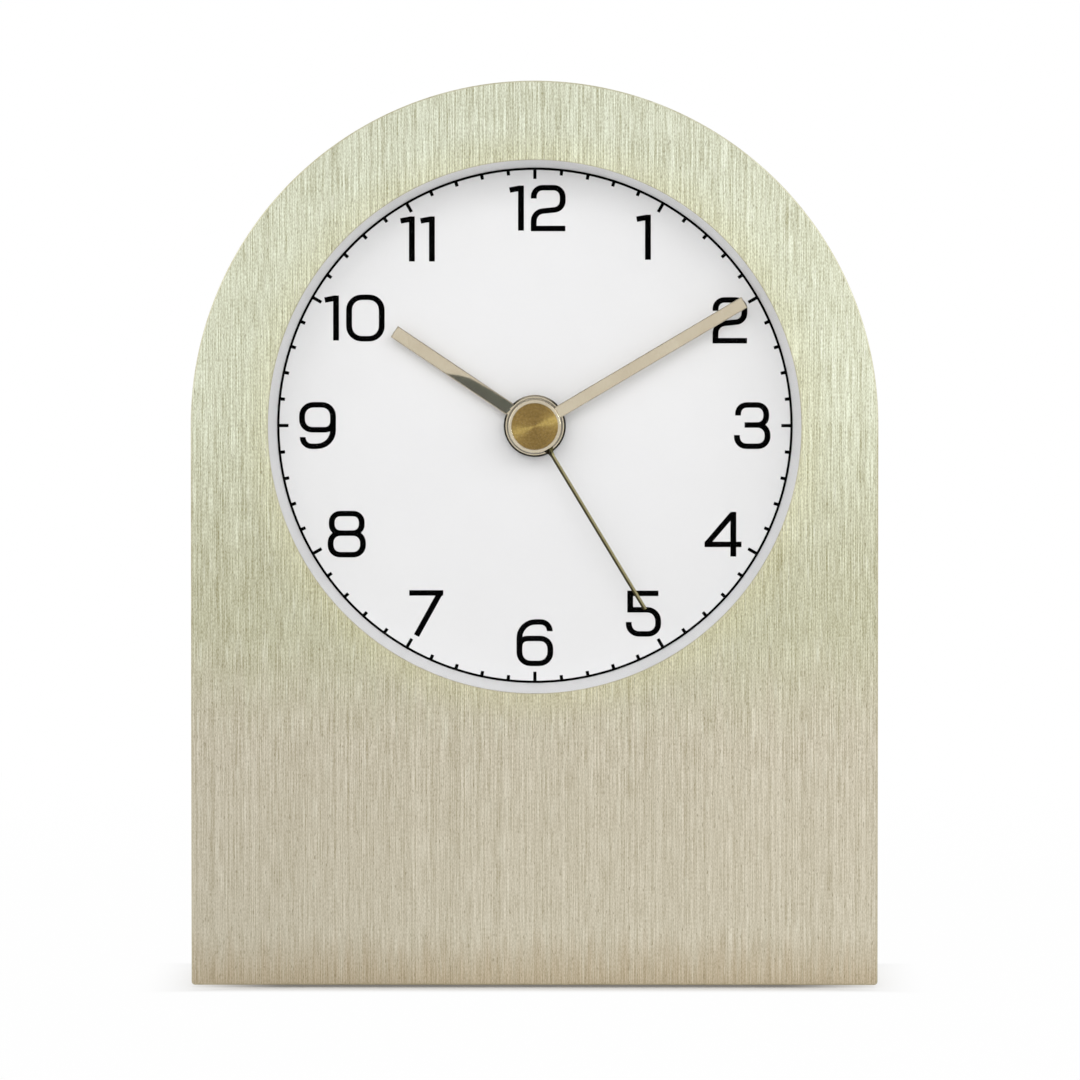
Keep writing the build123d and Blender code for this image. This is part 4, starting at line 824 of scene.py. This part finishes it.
handShape = {
    "hourHand": {"node": "hour_hand", "body": "hours", "angle": 303.9, "length": 29.7, "width": 2.3,
                 "hub": 5.45, "twist": 1.4, "paintedHubShade": 1.0},
    "minuteHand": {"node": "minute_hand", "body": "minutes", "angle": 59.4, "length": 42.7, "width": 2.15,
                   "hub": 4.95, "twist": 0.0, "paintedHubShade": 0.5},
}
bladeShape = {"thickness": 0.5 * mm, "bevel": 0.16 * mm, "hubBevel": 0.3 * mm, "support": 0.04 * mm,
              "hubSteps": 96, "bladeSteps": 12, "tipSteps": 5,
              "paintedTopLight": 0.8, "paleFrom": 0.75, "paleAt": 0.95}


# u runs along the hand and v across it; the clock angle turns them clockwise from twelve.
def onClock(u, v, y, angle):
    turn = math.radians(angle)
    return np.stack(np.broadcast_arrays(dialCentre[0] + u * math.sin(turn) + v * math.cos(turn), y,
                                        dialCentre[1] + u * math.cos(turn) - v * math.sin(turn)), -1)


# Baton hand: the outline is the hub's circle run into a straight blade. Rows step from the back up the
# sides, over the bevel, and fold to the centre line of the blade, which closes both faces. The blade is
# twisted a little about its length, as pressed hands are, so y grows with v there. The hub's edge carries
# painted shade, a dark reflection painted in, which is paler along its upper side as painted light from
# above.
def batonMesh(name, look):
    hub, width, length = (look[key] * mm for key in ("hub", "width", "length"))
    hubBevel, bevel, support = (bladeShape[key] for key in ("hubBevel", "bevel", "support"))

    def outlineAt(hubInset, inset):
        radius, half, tip = hub - hubInset, width / 2 - inset, length - inset
        join = math.asin(half / radius)
        arc = np.linspace(join, 2 * np.pi - join, bladeShape["hubSteps"])
        along = np.linspace(radius * math.cos(join), tip, bladeShape["bladeSteps"])
        along[0] += support
        over = np.linspace(-half, half, bladeShape["tipSteps"])[1:]
        u = np.concatenate([radius * np.cos(arc), along, 0 * over + tip, along[::-1][1:]])
        v = np.concatenate([radius * np.sin(arc), 0 * along - half, over, 0 * along[1:] + half])
        return u, v

    u, v = outlineAt(0.0, 0.0)
    onBlade = np.arange(len(u)) >= bladeShape["hubSteps"]
    spine = np.where(onBlade, np.minimum(u, length - width / 2), 0.0)
    drop = np.where(onBlade, bevel, hubBevel)
    lean = np.where(onBlade, math.tan(math.radians(look["twist"])), 0.0)
    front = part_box(look["node"])[0].y
    back = front + bladeShape["thickness"]
    inner, face = outlineAt(hubBevel, bevel), outlineAt(hubBevel + support, bevel + support)
    rows = [(spine, 0 * v, back), (u, v, back + lean * v), (u, v, front + drop + lean * v),
            (*inner, front + lean * inner[1]), (*face, front + lean * face[1]), (spine, 0 * v, front)]
    grid = np.stack([onClock(a, b, y, look["angle"]) for a, b, y in rows])
    # painted shade on the hub's edge, a dark reflection painted in, paler along its upper side as painted
    # light
    turn = math.radians(look["angle"])
    upward = (u * math.cos(turn) - v * math.sin(turn)) / hub
    pale = np.interp(upward, (bladeShape["paleFrom"], bladeShape["paleAt"]), (0, bladeShape["paintedTopLight"]))
    marks = np.outer([0, 1, 1, 1, 0, 0], np.where(onBlade, 0, look["paintedHubShade"] * (1 - pale)))
    return shell(name, grid, marks=marks, sharpAngle=20.0)


hands = bpy.data.collections.new("hands")
for name, look in handShape.items():
    hands.objects.link(piece(name, batonMesh(name, look), look["body"], "hand_metal", look["node"]))

secondsShape = {"angle": 148.9, "length": 37.5 * mm, "start": 2.5 * mm, "width": 0.7 * mm,
                "rootWidth": 1.8 * mm, "rootAt": 4.65 * mm, "rootLength": 1.6 * mm, "paintedRootShade": 2.5,
                "height": 0.3 * mm, "lip": 0.06 * mm, "ridge": 0.12, "paintedFacetShade": 0.82, "paintedBackShade": 0.4,
                "steps": 48}


# Seconds hand: a low ridge on a flat back. Its half width is that of the blade, plus a flare that
# dies away along the root. The root, one facet and one back edge are marked with painted shade, where less
# light falls.
def secondsMesh():
    look = secondsShape
    along = np.linspace(look["start"], look["length"], look["steps"])
    root = np.clip(1 - (along - look["rootAt"]) / look["rootLength"], 0, 1)
    half = (look["width"] + (look["rootWidth"] - look["width"]) * root ** 2) / 2
    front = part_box("seconds_hand")[0].y
    back = front + look["height"]
    lip, ridge, dark = back - look["lip"], look["ridge"], look["paintedFacetShade"]
    # painted shade on one facet and one back edge, where less light falls
    section = [(-1, back, look["paintedBackShade"]), (-1, lip, 0), (-ridge, front, 0), (ridge, front, dark),
               (1, lip, dark), (1, back, dark)]  # share of the half width, depth, mark
    grid = np.stack([onClock(along, side * half, y, look["angle"]) for side, y, mark in section], 1)
    ends = np.broadcast_to(grid.mean(1, keepdims=True), grid.shape)
    grid = np.concatenate([ends[:1], grid, ends[-1:]], 0)
    # painted shade along the root
    rootMarks = np.minimum(np.concatenate([root[:1], root, root[-1:]]) * look["paintedRootShade"], 1)
    marks = np.maximum(rootMarks[:, None], [mark for side, y, mark in section])
    return shell("secondsHand", grid, marks=marks, sharpAngle=15.0)


hands.objects.link(piece("secondsHand", secondsMesh(), "seconds", "seconds_metal", "seconds_hand"))

# Cap over the hands, with its turned brass disc

capLow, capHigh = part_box("hub_cap")
discLow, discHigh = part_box("cap_disc")
capShape = {"bevel": 0.2 * mm, "lipRound": 0.05 * mm, "discRound": 0.06 * mm, "seat": 0.03 * mm}
capRadius, discRadius = capHigh.x - dialCentre[0], discHigh.x - dialCentre[0]
seatRadius = discRadius + capShape["seat"]
capProfile = roundedPath([
    (0, capHigh.y, 0), (capRadius, capHigh.y, capShape["lipRound"]), (capRadius, capLow.y, capShape["bevel"]),
    (seatRadius, capLow.y, capShape["lipRound"]), (seatRadius, discHigh.y, 0), (0, discHigh.y, 0)])
discProfile = roundedPath([(0, discLow.y, 0), (discRadius, discLow.y, capShape["discRound"]),
                           (discRadius, discHigh.y, 0), (0, discHigh.y, 0)])
for name, profile, slot, node in [("hubCap", capProfile, "hand_metal", "hub_cap"),
                                  ("capDisc", discProfile, "cap_brass", "cap_disc")]:
    hands.objects.link(piece(name, turned(name, profile), "seconds", slot, node))
print("hands made")

# Floor, lamps and background


# 1 for a ray that shows something to the camera, straight, mirrored or through glass, and 0 for one that
# only carries light.
def seenShare(tree):
    kinds = add(tree, "LightPath").outputs
    seen = add(tree, "Math", {0: kinds["Is Camera Ray"], 1: kinds["Is Glossy Ray"]}, operation="MAXIMUM")
    return add(tree, "Math", {0: seen, 1: kinds["Is Transmission Ray"]}, operation="MAXIMUM")


# Matt white paper, lifted to plain white where it is seen. The lift starts at the clock's foot and is full
# a little way off, so the contact shadow stays, deep along the front and faint at both ends.
def studioPaper(tree, look):
    place = add(tree, "TexCoord").outputs["Object"]
    away = add(tree, "VectorMath", {0: place}, operation="LENGTH")
    lift = add(tree, "MapRange", {0: away, (1, 2): look["whiteSpan"], (3, 4): (look["nearLift"], 1.0)})
    beside = add(tree, "VectorMath", {0: place}, operation="ABSOLUTE")
    beside = add(tree, "VectorMath", {0: beside, 1: (halfWidth, bandHigh.y, 0)}, operation="SUBTRACT")
    axes = add(tree, "SeparateXYZ", {0: beside}).outputs
    scaled = {1: look["endScale"], 2: look["endShift"]}
    ends = add(tree, "Math", {0: axes["X"], **scaled}, operation="MULTIPLY_ADD")
    outside = add(tree, "Math", {0: ends, 1: axes["Y"]}, operation="MAXIMUM")
    clear = add(tree, "MapRange", {0: outside, (1, 2): look["shadowSpan"], 3: look["underLift"]},
                interpolation_type="SMOOTHSTEP")
    lift = add(tree, "Math", {0: lift, 1: clear}, operation="MULTIPLY")
    white = add(tree, "Math", {0: seenShare(tree), 1: lift}, operation="MULTIPLY")
    matt = add(tree, "BsdfDiffuse", {"Color": linear(look["colour"])})
    bright = add(tree, "Emission", {"Color": linear("FFFFFF"), "Strength": 1.0})
    return add(tree, "MixShader", {0: white, 1: matt, 2: bright})


# Dull card: flat grey without a gloss.
def dullCard(tree, look):
    return add(tree, "BsdfDiffuse", {"Color": linear(look["colour"])})


# A flat thing that belongs to the studio and not to the clock.
def stageSheet(name, points, finish):
    mesh = bpy.data.meshes.new(name)
    mesh.from_pydata(points.tolist(), [], [list(range(len(points)))])
    mesh.materials.append(finish)
    sheet = bpy.data.objects.new(name, mesh)
    bpy.context.scene.collection.objects.link(sheet)
    return sheet


floorShape = {"reach": 6.0, "colour": "FAFAFA", "whiteSpan": (0.25, 0.55), "nearLift": 0.985,
              "shadowSpan": (-1 * mm, 10 * mm), "underLift": 0.15, "endScale": 0.4, "endShift": 6 * mm}
floorCorners = np.array([(-1, -1, 0), (1, -1, 0), (1, 1, 0), (-1, 1, 0)]) * floorShape["reach"]
stageSheet("floor", floorCorners, material("studioFloor", studioPaper, floorShape))

lampAim = Vector((0, 0, 0.09))
lamps = {
    "leftSoftbox": {"place": (-1.2, -1.1, 0.7), "size": (0.9, 1.1), "watts": 3.2},
    "rightSoftbox": {"place": (1.2, -1.1, 0.7), "size": (0.9, 1.1), "watts": 3.4},
    "frontSoftbox": {"place": (0.0, -1.5, 0.66), "size": (1.8, 1.0), "watts": 14.1, "mirrored": False},
    "rightStrip": {"place": (1.15, -1.15, 0.4), "size": (0.12, 0.5), "watts": 13.0, "colour": "E8FFF8",
                   "only": hands},
    "rearSoftbox": {"place": (0.3, 1.3, 0.95), "size": (1.2, 0.8), "watts": 8.0, "mirrored": False},
}
for name, look in lamps.items():
    lampData = bpy.data.lights.new(name, "AREA")
    lampData.shape = "RECTANGLE"
    lampData.size, lampData.size_y = look["size"]
    lampData.energy = look["watts"]
    lampData.color = linear(look.get("colour", "FFFFFF"))[:3]
    lamp = bpy.data.objects.new(name, lampData)
    bpy.context.scene.collection.objects.link(lamp)
    lamp.visible_glossy = lamp.visible_transmission = look.get("mirrored", True)
    if "only" in look:
        lamp.light_linking.receiver_collection = look["only"]
    lamp.location = look["place"]
    lamp.rotation_euler = (lampAim - lamp.location).to_track_quat("-Z", "Y").to_euler()

ambient = {"strength": 0.27}
world = bpy.data.worlds.new("studio")
world.use_nodes = True
bpy.context.scene.world = world
tree = world.node_tree
tree.nodes.clear()
strength = add(tree, "MapRange", {0: seenShare(tree), (3, 4): (ambient["strength"], 1.0)})
background = add(tree, "Background", {"Color": linear("FFFFFF"), "Strength": strength})
add(tree, "OutputWorld", {"Surface": background})

# A dull grey card behind the camera, seen only in reflections, gives the hour hand its dark half.
# Its corners are in millimetres from the lens, along and across that hand.
hoodShape = {"behind": 6 * mm, "colour": "7E8587",
             "corners": [(15, -6), (4, -0.8), (1.9, 0.3), (-2.1, 1.7), (-6.1, 1.95), (-13, 2.45),
                         (-30, 2.45), (-30, -30), (15, -30)]}
hourTurn = math.radians(handShape["hourHand"]["angle"])
along, across = np.array(hoodShape["corners"]).T * mm
hoodFlat = np.stack([camera.location.x + along * math.sin(hourTurn) + across * math.cos(hourTurn),
                     camera.location.z + along * math.cos(hourTurn) - across * math.sin(hourTurn)], -1)
hoodPoints = atDepth(hoodFlat, camera.location.y - hoodShape["behind"])
hood = stageSheet("cameraFront", hoodPoints, material("dullGreyCard", dullCard, hoodShape))
hood.visible_camera = hood.visible_diffuse = hood.visible_shadow = False
print("stage and lamps set")
